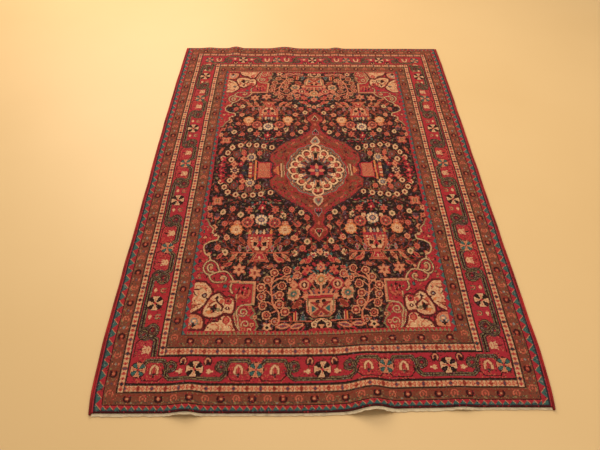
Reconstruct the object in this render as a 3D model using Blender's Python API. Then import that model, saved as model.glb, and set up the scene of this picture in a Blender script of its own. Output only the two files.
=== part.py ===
"""A hand-knotted wool rug, laid flat, with the low ripples that folding has left at its two ends.

Metres, +Z up. The rug lies on z = 0 with its length along Y and its near end at -Y. The origin is
on the floor under the middle of its outline.

The knotted carpet is one woven piece: a foundation of warps and wefts that runs on past the pile
as a flat-woven end, and the pile on top of it. The two long edges are separate cords of warp,
overcast with wool.
"""

import math
from collections import namedtuple

import bmesh
import bpy

# ---- Thicknesses and narrow widths
FOUNDATION = 0.0025  # warps and wefts
PILE = 0.0065  # the wool above them
SELVEDGE_WIDTH = 0.0080
SELVEDGE_HEIGHT = 0.0086
GAP = 0.0003  # between a selvedge and the carpet
LEFT_SELVEDGE_START = -0.45  # as a share of the flat-woven end's length, which it runs beside
RIGHT_SELVEDGE_START = -1.0

# ---- The outline, which is uneven as hand weaving is
# How far the two long edges lie from the centre line. The near corners are drawn in by the ripples.
Width = namedtuple("Width", "at left right")
WIDTHS = (
    Width(-1.060, 0.6725, 0.6755),
    Width(-0.975, 0.6835, 0.6850),
    Width(-0.850, 0.6890, 0.6900),
    Width(-0.600, 0.6906, 0.6890),
    Width(-0.200, 0.6885, 0.6860),
    Width(0.300, 0.6895, 0.6820),
    Width(0.750, 0.6845, 0.6790),
    Width(1.060, 0.6775, 0.6745),
)
WANDER = 0.0009  # how far a long edge strays from that smooth line
WANDER_WAVE = 0.29

# Where the pile ends at the near and the far end, with across from 0 at the left to 1 at the right,
# and how far the flat-woven web shows past it at the near end.
End = namedtuple("End", "at near web far")
ENDS = (
    End(0.00, -1.0464, 0.0120, 1.0585),
    End(0.26, -1.0461, 0.0092, 1.0556),
    End(0.50, -1.0442, 0.0095, 1.0525),
    End(0.68, -1.0306, 0.0118, 1.0500),
    End(0.86, -1.0272, 0.0090, 1.0478),
    End(1.00, -1.0275, 0.0083, 1.0463),
)

# ---- The ripples. Each is highest at its end of the rug, and runs out to nothing over its reach.
# The crest lies at across, and falls to the floor over left on one side and right on the other.
Ripple = namedtuple("Ripple", "end across height left right reach lean")
RIPPLES = (
    Ripple("near", -0.391, 0.0130, 0.078, 0.052, 0.26, 0.00),
    Ripple("near", 0.151, 0.0250, 0.086, 0.076, 0.30, -0.08),
    Ripple("near", 0.406, 0.0050, 0.055, 0.060, 0.17, 0.00),
    Ripple("far", -0.550, 0.0035, 0.055, 0.055, 0.12, 0.00),
    Ripple("far", -0.408, 0.0100, 0.052, 0.048, 0.21, 0.04),
    Ripple("far", -0.146, 0.0090, 0.088, 0.080, 0.17, 0.00),
    Ripple("far", 0.131, 0.0065, 0.046, 0.044, 0.15, 0.00),
)

# ---- How finely the sheet is divided
RIPPLE_STEP_ACROSS = 0.0155
RIPPLE_STEP_ALONG = 0.024
FLAT_STEP_ACROSS = 0.16
FLAT_STEP_ALONG = 0.075
SELVEDGE_SIDES = 10

# ---- The carpet's two materials, in the order of its slots
WOOL_SLOT, COTTON_SLOT = 0, 1

# ---- Colours, linear RGB
PILE_RED = (0.150, 0.030, 0.022)
COTTON = (0.700, 0.600, 0.450)
SELVEDGE_RED = (0.150, 0.008, 0.012)


def remove_all():
    for thing in list(bpy.data.objects):
        bpy.data.objects.remove(thing, do_unlink=True)


def material(name, colour, roughness):
    made = bpy.data.materials.new(name)
    made.use_nodes = True
    shader = made.node_tree.nodes["Principled BSDF"]
    shader.inputs["Base Color"].default_value = (*colour, 1.0)
    shader.inputs["Roughness"].default_value = roughness
    shader.inputs["Metallic"].default_value = 0.0
    return made


def mix(a, b, share):
    return a + (b - a) * share


def curve_through(rows, column, at):
    """The value of one column between its rows, on a smooth curve through all of them."""
    xs = [row.at for row in rows]
    ys = [getattr(row, column) for row in rows]
    k = max(0, min(len(rows) - 2, sum(x <= at for x in xs) - 1))

    def slope(i):
        low, high = max(i - 1, 0), min(i + 1, len(rows) - 1)
        return (ys[high] - ys[low]) / (xs[high] - xs[low])

    span = xs[k + 1] - xs[k]
    share = min(max((at - xs[k]) / span, 0.0), 1.0)
    rise = ys[k + 1] - ys[k]
    start, stop = slope(k) * span, slope(k + 1) * span
    cubic = start + stop - 2 * rise
    square = 3 * rise - 2 * start - stop
    return ys[k] + share * (start + share * (square + share * cubic))


def long_edge(side, along):
    """Where the outer face of the left (-1) or right (+1) selvedge lies across the rug."""
    half = curve_through(WIDTHS, "left" if side < 0 else "right", along)
    turn = 2 * math.pi * along / WANDER_WAVE
    stray = WANDER * (0.6 * math.sin(turn + side) + 0.4 * math.sin(1.7 * turn))
    return side * (half - WANDER + stray)


def sheet_y(across, along):
    """Along the rug, with along from 0 to 1 over the pile, and from -1 to 0 over the flat-woven end."""
    near = curve_through(ENDS, "near", across)
    if along < 0:
        return near + curve_through(ENDS, "web", across) * along
    return mix(near, curve_through(ENDS, "far", across), along)


def sheet_x(across, y):
    """Across the carpet between its selvedges, with across from 0 at the left to 1 at the right."""
    inset = SELVEDGE_WIDTH + GAP
    return mix(long_edge(-1, y) + inset, long_edge(1, y) - inset, across)


def swell(distance, flank):
    """A smooth hump of height 1, which meets the floor at its flank's foot without a crease."""
    share = min(abs(distance) / flank, 1.0)
    return 0.5 + 0.5 * math.cos(math.pi * share)


def ripple_height(across, y):
    """How far the underside of the rug stands off the floor."""
    x = sheet_x(across, y)
    total = 0.0
    for ripple in RIPPLES:
        inwards = max(abs(y - curve_through(ENDS, ripple.end, across)), 0.0)
        if (y < 0) == (ripple.end == "near"):
            aside = x - ripple.across - ripple.lean * inwards
            flank = ripple.left if aside < 0 else ripple.right
            total += ripple.height * swell(aside, flank) * swell(inwards, ripple.reach)
    return total


def stations(zones, fine, coarse):
    """Positions from 0 to 1, a fine step apart inside the zones and a coarse step apart outside."""
    marks = sorted({0.0, 1.0} | {min(max(edge, 0.0), 1.0) for zone in zones for edge in zone})
    found = [0.0]
    for low, high in zip(marks, marks[1:]):
        middle = (low + high) / 2
        step = fine if any(a <= middle <= b for a, b in zones) else coarse
        count = max(1, round((high - low) / step))
        found += [mix(low, high, (i + 1) / count) for i in range(count)]
    return found


def across_stations():
    width = max(row.left + row.right for row in WIDTHS)
    zones = [(0.5 + (r.across - r.left) / width, 0.5 + (r.across + r.right) / width) for r in RIPPLES]
    return stations(merged(zones), RIPPLE_STEP_ACROSS / width, FLAT_STEP_ACROSS / width)


def along_stations():
    length = max(row.far - row.near for row in ENDS)
    near_reach = max(r.reach for r in RIPPLES if r.end == "near") / length
    far_reach = max(r.reach for r in RIPPLES if r.end == "far") / length
    zones = [(0.0, near_reach), (1.0 - far_reach, 1.0)]
    return stations(zones, RIPPLE_STEP_ALONG / length, FLAT_STEP_ALONG / length)


def merged(zones):
    """Zones that overlap are run together."""
    runs = []
    for low, high in sorted(zones):
        if runs and low <= runs[-1][1]:
            runs[-1] = (runs[-1][0], max(runs[-1][1], high))
        else:
            runs.append((low, high))
    return runs


def add_object(name, bm, materials):
    bmesh.ops.recalc_face_normals(bm, faces=bm.faces[:])
    mesh = bpy.data.meshes.new(name)
    bm.to_mesh(mesh)
    bm.free()
    for each in materials:
        mesh.materials.append(each)
    mesh.shade_smooth()
    mesh.set_sharp_from_angle(angle=math.radians(35))
    made = bpy.data.objects.new(name, mesh)
    bpy.context.scene.collection.objects.link(made)
    return made


def raise_faces(bm, faces, height):
    """Extrudes faces straight up, leaving the old ones where they are, and returns the new tops."""
    grown = bmesh.ops.extrude_face_region(bm, geom=faces)["geom"]
    moved = [g for g in grown if isinstance(g, bmesh.types.BMVert)]
    bmesh.ops.translate(bm, verts=moved, vec=(0, 0, height))
    return [g for g in grown if isinstance(g, bmesh.types.BMFace)]


def knotted_carpet():
    """The foundation as one rippled sheet, and the pile raised from all of it but the woven end."""
    columns = across_stations()
    rows = [-1.0] + along_stations()
    bm = bmesh.new()
    grid = []
    for along in rows:
        line = []
        for across in columns:
            y = sheet_y(across, along)
            line.append(bm.verts.new((sheet_x(across, y), y, ripple_height(across, y))))
        grid.append(line)
    for j in range(len(rows) - 1):
        for i in range(len(columns) - 1):
            corners = (grid[j][i], grid[j][i + 1], grid[j + 1][i + 1], grid[j + 1][i])
            bm.faces.new(corners).material_index = COTTON_SLOT if j == 0 else WOOL_SLOT
    top = raise_faces(bm, bm.faces[:], FOUNDATION)
    under_pile = [face for face in top if face.material_index == WOOL_SLOT]
    raise_faces(bm, under_pile, PILE)
    bmesh.ops.delete(bm, geom=under_pile, context="FACES")
    wool = material("pile_wool", PILE_RED, 0.90)
    cotton = material("undyed_cotton", COTTON, 0.90)
    return add_object("knotted_carpet", bm, (wool, cotton))


def selvedge(name, side, start):
    """A cord of warps along one long edge, a little flat where it lies on the floor."""
    across = 0.0 if side < 0 else 1.0
    rows = [start] + along_stations()
    bm = bmesh.new()
    rings = []
    for along in rows:
        y = sheet_y(across, along)
        middle = long_edge(side, y) - side * SELVEDGE_WIDTH / 2
        ring = []
        for k in range(SELVEDGE_SIDES):
            angle = 2 * math.pi * (k + 0.5) / SELVEDGE_SIDES - math.pi / 2
            x = middle + SELVEDGE_WIDTH / 2 * math.cos(angle)
            z = SELVEDGE_HEIGHT / 2 * (1 + math.sin(angle) / math.cos(math.pi / SELVEDGE_SIDES))
            ring.append(bm.verts.new((x, y, z)))
        rings.append(ring)
    for low, high in zip(rings, rings[1:]):
        for k in range(SELVEDGE_SIDES):
            n = (k + 1) % SELVEDGE_SIDES
            bm.faces.new((low[k], low[n], high[n], high[k]))
    bm.faces.new(rings[0])
    bm.faces.new(rings[-1])
    return add_object(name, bm, (material(name + "_wool", SELVEDGE_RED, 0.85),))


def build():
    remove_all()
    knotted_carpet()
    selvedge("left_selvedge", -1, LEFT_SELVEDGE_START)
    selvedge("right_selvedge", 1, RIGHT_SELVEDGE_START)


build()
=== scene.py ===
# %% [markdown]
# # A hand-knotted rug on a floor
# The rug is wool knotted onto cotton, about 1.38 by 2.12 m, lying flat but for the low ripples that
# folding has left at its ends. Five pieces make its looks: the pile, the woven foundation under it,
# the bare woven end at the near side, and the two overcast edges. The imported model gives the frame
# that all of them have to fit.

# %% The frame
import math
from collections import namedtuple

import bpy
import numpy as np
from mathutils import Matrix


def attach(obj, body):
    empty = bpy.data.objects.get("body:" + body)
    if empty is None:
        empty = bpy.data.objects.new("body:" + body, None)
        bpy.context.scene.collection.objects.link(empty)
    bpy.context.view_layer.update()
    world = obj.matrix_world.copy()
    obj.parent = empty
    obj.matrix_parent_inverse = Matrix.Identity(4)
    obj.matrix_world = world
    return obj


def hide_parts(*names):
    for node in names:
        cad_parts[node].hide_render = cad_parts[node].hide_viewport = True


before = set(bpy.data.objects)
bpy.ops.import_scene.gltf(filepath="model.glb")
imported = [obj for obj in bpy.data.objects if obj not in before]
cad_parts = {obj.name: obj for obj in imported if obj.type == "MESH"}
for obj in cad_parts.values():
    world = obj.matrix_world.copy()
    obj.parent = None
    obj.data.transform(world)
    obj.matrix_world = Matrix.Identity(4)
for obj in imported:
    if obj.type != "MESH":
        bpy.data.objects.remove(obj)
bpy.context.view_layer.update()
print("nodes:", sorted(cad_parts))

# %% [markdown]
# ## The camera
# The camera comes first, because the size of a knot on the picture decides how fine everything else
# has to be. It stands at the near end a little left of the rug's middle, at eye height, and looks
# down at about 45 degrees. Near the camera a pixel is about 3 mm, hardly more than one knot.

# %% Camera
CAMERA_PLACE = (-0.0635, -1.8292, 1.575)
CAMERA_DOWN = 45.5  # degrees below the horizon
SENSOR = 36.0  # mm
FOCAL_PIXELS, PICTURE_WIDTH = 579.0, 600.0
camera_data = bpy.data.cameras.new("camera")
camera_data.sensor_width = SENSOR
camera_data.lens = FOCAL_PIXELS * SENSOR / PICTURE_WIDTH
camera = bpy.data.objects.new("camera", camera_data)
camera.location = CAMERA_PLACE
camera.rotation_euler = (math.radians(90 - CAMERA_DOWN), 0, 0)
bpy.context.scene.collection.objects.link(camera)
bpy.context.scene.camera = camera
print("lens", round(camera_data.lens, 2), "mm")

# %% [markdown]
# ## The rug's shape
# Nothing on a hand-woven rug is quite straight. Its width is given at a few places along it, its
# two ends at a few places across it, and a smooth curve runs through each row of values. The
# ripples are low humps that start at an end and run out. These are the sizes that the solids of
# the frame were made from, so each piece below lies where its solid does.

# %% Sizes
FOUNDATION = 0.0025
PILE = 0.0065
SELVEDGE_WIDTH = 0.0080
SELVEDGE_HEIGHT = 0.0086
GAP = 0.0003
LEFT_SELVEDGE_START = -0.45
RIGHT_SELVEDGE_START = -1.0

Width = namedtuple("Width", "at left right")
WIDTHS = (
    Width(-1.060, 0.6725, 0.6755), Width(-0.975, 0.6835, 0.6850), Width(-0.850, 0.6890, 0.6900),
    Width(-0.600, 0.6906, 0.6890), Width(-0.200, 0.6885, 0.6860), Width(0.300, 0.6895, 0.6820),
    Width(0.750, 0.6845, 0.6790), Width(1.060, 0.6775, 0.6745),
)
WANDER = 0.0009
WANDER_WAVE = 0.29
End = namedtuple("End", "at near web far")
ENDS = (
    End(0.00, -1.0464, 0.0120, 1.0585), End(0.26, -1.0461, 0.0092, 1.0556),
    End(0.50, -1.0442, 0.0095, 1.0525), End(0.68, -1.0306, 0.0118, 1.0500),
    End(0.86, -1.0272, 0.0090, 1.0478), End(1.00, -1.0275, 0.0083, 1.0463),
)
Ripple = namedtuple("Ripple", "end across height left right reach lean")
RIPPLES = (
    Ripple("near", -0.391, 0.0130, 0.078, 0.052, 0.26, 0.00),
    Ripple("near", 0.151, 0.0250, 0.086, 0.076, 0.30, -0.08),
    Ripple("near", 0.406, 0.0050, 0.055, 0.060, 0.17, 0.00),
    Ripple("far", -0.550, 0.0035, 0.055, 0.055, 0.12, 0.00),
    Ripple("far", -0.408, 0.0100, 0.052, 0.048, 0.21, 0.04),
    Ripple("far", -0.146, 0.0090, 0.088, 0.080, 0.17, 0.00),
    Ripple("far", 0.131, 0.0065, 0.046, 0.044, 0.15, 0.00),
)
print(len(RIPPLES), "ripples")

# %% [markdown]
# ## Smooth curves through the sizes
# A sheet has tens of thousands of points, so each function takes whole arrays of places at once.
# Between two rows of a table runs a cubic curve whose slopes follow the rows on either side. So an
# edge bends softly and has no corner at a row.

# %% Curves through the sizes
def mix(a, b, share):
    return a + (b - a) * share


def curve_through(rows, column, at):
    """The values of one column at these places, on a smooth curve through all the rows."""
    xs = np.array([row.at for row in rows])
    ys = np.array([getattr(row, column) for row in rows])
    low = np.maximum(np.arange(len(xs)) - 1, 0)
    high = np.minimum(np.arange(len(xs)) + 1, len(xs) - 1)
    slopes = (ys[high] - ys[low]) / (xs[high] - xs[low])
    k = np.clip(np.searchsorted(xs, at, side="right") - 1, 0, len(xs) - 2)
    span = xs[k + 1] - xs[k]
    share = np.clip((at - xs[k]) / span, 0, 1)
    rise = ys[k + 1] - ys[k]
    start, stop = slopes[k] * span, slopes[k + 1] * span
    cubic, square = start + stop - 2 * rise, 3 * rise - 2 * start - stop
    return ys[k] + share * (start + share * (square + share * cubic))


def long_edge(side, along):
    half = curve_through(WIDTHS, "left" if side < 0 else "right", along)
    turn = 2 * np.pi * along / WANDER_WAVE
    stray = WANDER * (0.6 * np.sin(turn + side) + 0.4 * np.sin(1.7 * turn))
    return side * (half - WANDER + stray)


def sheet_y(across, along):
    """Along runs from 0 to 1 over the pile, and from -1 to 0 over the flat-woven end."""
    near = curve_through(ENDS, "near", across)
    over_pile = mix(near, curve_through(ENDS, "far", across), along)
    return np.where(along < 0, near + curve_through(ENDS, "web", across) * along, over_pile)


def sheet_x(across, y):
    inset = SELVEDGE_WIDTH + GAP
    return mix(long_edge(-1, y) + inset, long_edge(1, y) - inset, across)


def swell(distance, flank):
    share = np.minimum(abs(distance) / flank, 1.0)
    return 0.5 + 0.5 * np.cos(np.pi * share)


def ripple_height(across, y):
    """How far the underside of the rug stands off the floor."""
    x = sheet_x(across, y)
    total = np.zeros(np.shape(x))
    for ripple in RIPPLES:
        inwards = np.maximum(abs(y - curve_through(ENDS, ripple.end, across)), 0.0)
        aside = x - ripple.across - ripple.lean * inwards
        flank = np.where(aside < 0, ripple.left, ripple.right)
        at_this_end = (y < 0) == (ripple.end == "near")
        total += at_this_end * ripple.height * swell(aside, flank) * swell(inwards, ripple.reach)
    return total


print("pile from", round(float(sheet_y(np.array(0.5), np.array(0.0))), 3), "m along")

# %% [markdown]
# ## A knot chart
# A weaver reads the pattern of such a rug from squared paper, one square to a knot. Here that paper
# is an array of small numbers, one number to a knot and one number to a yarn. An image texture
# could hold a pattern too, but a chart that functions draw can be changed motif by motif, and its
# edges step from knot to knot as real ones do. Rows count from the near end, columns from the left.

# %% Yarns
YARNS = {
    "night": "#13100f", "navy": "#20222f", "teal": "#2b5a58", "crimson": "#9c1327",
    "rust": "#76291a", "earth": "#733a29", "coral": "#ae513a", "salmon": "#bc7856",
    "cream": "#c39671", "ivory": "#d8ae88", "olive": "#7c6a47", "bark": "#4c3a2f",
    "maroon": "#430f18", "plum": "#563a46", "mist": "#7d7674", "orange": "#bd6a33",
}
NIGHT, NAVY, TEAL, CRIMSON, RUST, EARTH, CORAL, SALMON = range(8)
CREAM, IVORY, OLIVE, BARK, MAROON, PLUM, MIST, ORANGE = range(8, 16)
COLUMNS = 512
ROWS = 700
print(len(YARNS), "yarns,", COLUMNS * ROWS, "knots")

# %% [markdown]
# ## The weaver's brushes
# Each brush colours the knots inside one simple shape: an oval, a block, a diamond, a flower with
# rounded petals, a leaf or a straight-sided outline. It looks only at the part of the chart around
# its place, which keeps thousands of strokes quick.

# %% Brushes
def around(sheet, x, y, reach):
    """The part of a sheet around a place, and how far each of its knots lies from there."""
    low_x, low_y = max(int(x - reach), 0), max(int(y - reach), 0)
    high_x = max(min(int(x + reach) + 2, sheet.shape[1]), low_x)
    high_y = max(min(int(y + reach) + 2, sheet.shape[0]), low_y)
    rows, columns = np.mgrid[low_y:high_y, low_x:high_x]
    return sheet[low_y:high_y, low_x:high_x], columns - x, rows - y


def oval(sheet, yarn, x, y, wide, tall=None):
    tall = tall or wide
    part, dx, dy = around(sheet, x, y, max(wide, tall))
    part[(dx / wide) ** 2 + (dy / tall) ** 2 <= 1] = yarn


def block(sheet, yarn, x, y, wide, tall):
    part, dx, dy = around(sheet, x, y, max(wide, tall))
    part[(abs(dx) <= wide) & (abs(dy) <= tall)] = yarn


def diamond(sheet, yarn, x, y, wide, tall=None):
    tall = tall or wide
    part, dx, dy = around(sheet, x, y, max(wide, tall))
    part[abs(dx) / wide + abs(dy) / tall <= 1] = yarn


def flower(sheet, yarn, x, y, radius, count, notch=0.3, turn=0.0, tall=1.1):
    """Rounded petals: the outline swings in by the notch between them."""
    part, dx, dy = around(sheet, x, y, radius * tall)
    angle = np.arctan2(dx, dy) - turn
    edge = radius * (1 - notch * (0.5 - 0.5 * np.cos(count * angle)))
    part[np.hypot(dx, dy / tall) <= edge] = yarn


def leaf(sheet, yarn, x, y, length, width, turn):
    """Pointed at both ends. A turn of 0 lies along the row, and grows towards the column's end."""
    part, dx, dy = around(sheet, x, y, length / 2)
    along = (dx * math.cos(turn) + dy * math.sin(turn)) / (length / 2)
    aside = (dy * math.cos(turn) - dx * math.sin(turn)) / (width / 2)
    part[abs(aside) <= 1 - along ** 2] = yarn


def outline(sheet, yarn, corners):
    """Fills a straight-sided shape, given by its corners in order."""
    xs, ys = zip(*corners)
    middle_x, middle_y = (min(xs) + max(xs)) / 2, (min(ys) + max(ys)) / 2
    reach = max(max(xs) - min(xs), max(ys) - min(ys)) / 2 + 1
    part, dx, dy = around(sheet, middle_x, middle_y, reach)
    inside = np.zeros(part.shape, bool)
    for (x0, y0), (x1, y1) in zip(corners, corners[1:] + corners[:1]):
        if y0 != y1:
            level = dy + middle_y
            crossing = x0 + (level - y0) * (x1 - x0) / (y1 - y0)
            inside ^= ((level >= min(y0, y1)) & (level < max(y0, y1)) & (dx + middle_x >= crossing))
    part[inside] = yarn


print("brushes ready")

# %% [markdown]
# ## Lines, hooks and scrolls
# Stems, vines and tendrils are lines made of short straight runs. A smooth curve, a ring with a gap
# and a scroll are each worked out as the places that such a line passes.

# %% Lines
def line(sheet, yarn, points, width=1.3):
    """A line of straight runs, as wide as asked for."""
    for (x0, y0), (x1, y1) in zip(points, points[1:]):
        run = math.hypot(x1 - x0, y1 - y0) or 1.0
        part, dx, dy = around(sheet, (x0 + x1) / 2, (y0 + y1) / 2, run / 2 + width)
        along = np.clip((dx * (x1 - x0) + dy * (y1 - y0)) / run ** 2, -0.5, 0.5)
        away = np.hypot(dx - along * (x1 - x0), dy - along * (y1 - y0))
        part[away <= width / 2] = yarn


def smooth(points, steps=6):
    """Points along a smooth curve through the given ones."""
    ends = [points[0]] + list(points) + [points[-1]]
    found = []
    for a, b, c, d in zip(ends, ends[1:], ends[2:], ends[3:]):
        for k in range(steps):
            t = k / steps
            found.append(tuple(0.5 * (2 * q + (r - p) * t + (2 * p - 5 * q + 4 * r - s) * t ** 2
                                      + (3 * q - p - 3 * r + s) * t ** 3)
                               for p, q, r, s in zip(a, b, c, d)))
    return found + [points[-1]]


def hook(sheet, yarn, x, y, wide, tall, opens, width):
    """A ring with a gap, which opens towards an angle. An angle of 0 points along the row."""
    points = []
    for k in range(13):
        angle = opens + math.radians(50 + 260 * k / 12)
        points.append((x + wide * math.cos(angle), y + tall * math.sin(angle)))
    line(sheet, yarn, points, width)


WOUND_IN = 0.72  # the share of its radius that a scroll has lost at its middle


def curl(sheet, yarn, x, y, radius, start, turns, width):
    """A scroll that winds in to its middle."""
    steps = max(8, int(abs(turns) * 20))
    points = []
    for k in range(steps + 1):
        share = k / steps
        angle = start + 2 * math.pi * turns * share
        reach = radius * (1 - WOUND_IN * share)
        points.append((x + reach * math.cos(angle), y + reach * math.sin(angle)))
    line(sheet, yarn, points, width)


print("lines ready")

# %% [markdown]
# ## The field, a quarter at a time
# Like most rugs with a medallion, this one is nearly the same in all four quarters. So one quarter
# is drawn, with u knots sideways from the medallion's middle and v rows towards the near end, and
# the others are turned over from it. Its ground is dark and crowded: vases of flowers, with long
# sprays of button flowers around them.

# %% Small motifs
FIELD_WIDE = 166
FIELD_TALL = 268
quarter = np.full((FIELD_TALL, FIELD_WIDE), NIGHT, np.uint8)


BUTTON_SIZE = 4.6


def button(u, v, rim, heart, eye):
    """A small round flower: a rim of one yarn, a ring of another, and an eye."""
    flower(quarter, rim, u, v, BUTTON_SIZE, 8, 0.12, tall=1.16)
    oval(quarter, heart, u, v, BUTTON_SIZE * 0.46, BUTTON_SIZE * 0.58)
    oval(quarter, eye, u, v, 0.8, 1.1)


def ring_flower(u, v, size, eye):
    """A ring of petals with a dark ring and an eye inside it."""
    flower(quarter, SALMON, u, v, size, 9, 0.14, tall=1.05)
    for yarn, share in ((MAROON, 0.66), (RUST, 0.54), (CORAL, 0.38)):
        oval(quarter, yarn, u, v, size * share, size * share * 1.08)
    oval(quarter, eye, u, v, 1.2, 1.4)


def disc_flower(u, v, size, *yarns):
    """Rings of several yarns, one inside the other, the outer ones scalloped."""
    for k, yarn in enumerate(yarns):
        flower(quarter, yarn, u, v, size * (1 - k / len(yarns)), 8, 0.10, turn=0.2 * k, tall=1.06)
    diamond(quarter, CREAM, u, v, 0.8, 1.4)


def rosette(u, v, size, petal, ground, heart, count=8):
    """A larger flower: petals over a ground that shows between them, and a heart."""
    flower(quarter, ground, u, v, size, count, 0.10)
    for k in range(count):
        angle = 2 * math.pi * (k + 0.5) / count
        leaf(quarter, petal, u + size * 0.62 * math.sin(angle), v + size * 0.66 * math.cos(angle),
             size * 0.80, size * 0.40, math.pi / 2 - angle)
    oval(quarter, heart, u, v, size * 0.28, size * 0.32)
    oval(quarter, CREAM, u, v, 0.9)


def star(u, v, size, yarn, centre, points=6):
    for k in range(points):
        angle = 2 * math.pi * k / points
        leaf(quarter, yarn, u + size * 0.52 * math.sin(angle), v + size * 0.56 * math.cos(angle),
             size * 1.05, size * 0.52, math.pi / 2 - angle)
    oval(quarter, centre, u, v, size * 0.26, size * 0.30)


def striped_leaf(u, v, length, width, turn, rim, inside, vein=None):
    leaf(quarter, rim, u, v, length, width, turn)
    leaf(quarter, inside, u, v, length * 0.70, width * 0.52, turn)
    if vein is not None:
        dx, dy = 0.22 * length * math.cos(turn), 0.22 * length * math.sin(turn)
        line(quarter, vein, [(u - dx, v - dy), (u + dx, v + dy)], 0.9)


def stem(points, yarn=RUST, width=1.4):
    """A curving stem with tiny leaves on either side of it by turns."""
    path = smooth(points)
    for k in range(3, len(path) - 2, 5):
        (u, v), (next_u, next_v) = path[k], path[k + 1]
        turn = math.atan2(next_v - v, next_u - u) + (0.9 if k % 10 < 5 else -0.9)
        yarn_here = (OLIVE, RUST, PLUM, CORAL)[k // 5 % 4]
        leaf(quarter, yarn_here, u + 3 * math.cos(turn), v + 3 * math.sin(turn), 6.5, 2.6, turn)
    line(quarter, yarn, path, width)


print("motifs ready")

# %% [markdown]
# ## Ground sprigs and sprays
# Between the flowers the dark ground is never bare for long. Thin stems and tiny leaves in muted
# yarns run through it, so that from a step away it reads as a dark brown and not as black.

# %% Sprays
scatter = np.random.default_rng(7)


def sprig(u, v):
    """A tiny leaf or two, in a muted yarn."""
    yarn = (MAROON, PLUM, BARK, RUST, RUST, OLIVE, BARK, CRIMSON)[scatter.integers(8)]
    turn = scatter.uniform(0, math.pi)
    leaf(quarter, yarn, u, v, scatter.uniform(4.5, 8), scatter.uniform(1.8, 3.0), turn)


SPRIG_SPACING = 7
for v in range(3, FIELD_TALL, SPRIG_SPACING):
    for u in range(3 + (v // SPRIG_SPACING % 2) * 3, FIELD_WIDE, SPRIG_SPACING):
        sprig(u + scatter.uniform(-2, 2), v + scatter.uniform(-2, 2))


def fill_in(ground, yarns, low, high, spacing, length=6):
    """Tiny leaves on the knots of one yarn, between two corners of the quarter."""
    before = quarter.copy()
    for v in np.arange(low[1], high[1], spacing):
        for u in np.arange(low[0], high[0], spacing):
            yarn = yarns[scatter.integers(len(yarns))]
            leaf(quarter, yarn, u + scatter.uniform(-2, 2), v + scatter.uniform(-2, 2),
                 scatter.uniform(0.6, 1) * length, 0.4 * length, scatter.uniform(0, math.pi))
    np.copyto(quarter, before, where=before != ground)


VASE_U = 82
VASE_V = 138


def both_sides(draw, p, q, *rest):
    """Draws a motif on either side of the near vase's own middle line."""
    for side in (-1, 1):
        draw(VASE_U + side * p, VASE_V + q, *rest)


SPRAY_STEMS = (
    ((10, 16), (30, 15), (44, 8), (50, -6), (52, -22), (48, -42), (42, -60)),
    ((44, 8), (56, 8), (62, -4), (66, -24), (64, -44), (57, -56)),
    ((14, 10), (26, 2), (37, -3), (46, -10)),
    ((10, -16), (22, -22), (36, -28), (46, -33), (41, -44), (31, -50)),
    ((6, -16), (14, -26), (19, -36)),
    ((30, 15), (42, 18), (52, 15), (58, 8)),
)
for points in SPRAY_STEMS:
    for side in (-1, 1):
        stem([(VASE_U + side * p, VASE_V + q) for p, q in points], width=1.5)
print("sprays drawn")

# %% [markdown]
# ## The vases
# Each long side of the medallion has a vase lying on its side, and at either end of the field
# stand two vases with a third between them. Their flowers are listed as places from the vase's
# own middle, one side only, because both sides match.

# %% The two near vases
# The yarns of a button flower: its rim, its heart and its eye
PALE, BRIGHT = (CREAM, OLIVE, NIGHT), (CORAL, CRIMSON, SALMON)
NEAR_BUTTONS = (
    (57, -55, PALE), (30.5, -50, PALE), (47.5, 16, PALE), (43, -61, BRIGHT), (65, -44.5, BRIGHT),
    (52, -33, (CORAL, CRIMSON, CREAM)), (47.5, -9, (SALMON, CRIMSON, CREAM)), (58.5, 8, BRIGHT),
    (41, -43, (MAROON, PLUM, SALMON)), (54.5, -20, (MAROON, RUST, SALMON)),
    (37.5, -2, (RUST, PLUM, SALMON)), (67, -26, (SALMON, CORAL, CREAM)),
)
for p, q, yarns in NEAR_BUTTONS:
    both_sides(button, p, q, *yarns)
button(VASE_U - 65, VASE_V - 3, *PALE)
both_sides(disc_flower, 19.5, -36.5, 9.2, CORAL, CORAL, BARK, PLUM)
both_sides(rosette, 19.5, -36.5, 6.0, CRIMSON, BARK, CORAL, 6)
both_sides(rosette, 34.5, -34.5, 5.0, SALMON, CORAL, CORAL, 5)
both_sides(disc_flower, 34.5, -23.4, 9.6, ORANGE, CREAM, CREAM, CREAM, ORANGE, RUST)
both_sides(rosette, 34.5, -23.4, 7.4, CREAM, ORANGE, RUST, 10)
rosette(VASE_U, VASE_V - 41.5, 9.2, IVORY, MIST, PLUM, 10)
disc_flower(VASE_U, VASE_V - 41.5, 5.2, PLUM, MIST, CORAL)
for side in (-1, 1):
    u = VASE_U + side * 13.5
    flower(quarter, CREAM, u, VASE_V - 47, 4.2, 5, 0.35)
    oval(quarter, CORAL, u, VASE_V - 46, 1.3)
print(len(NEAR_BUTTONS), "pairs of button flowers")

# %% [markdown]
# ## The body of a vase
# The vase is coloured in from the back to the front: flames behind the mouth, a stepped body in
# three yarns, then what stands on it, and the foot. Striped leaves spread on both sides.

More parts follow.
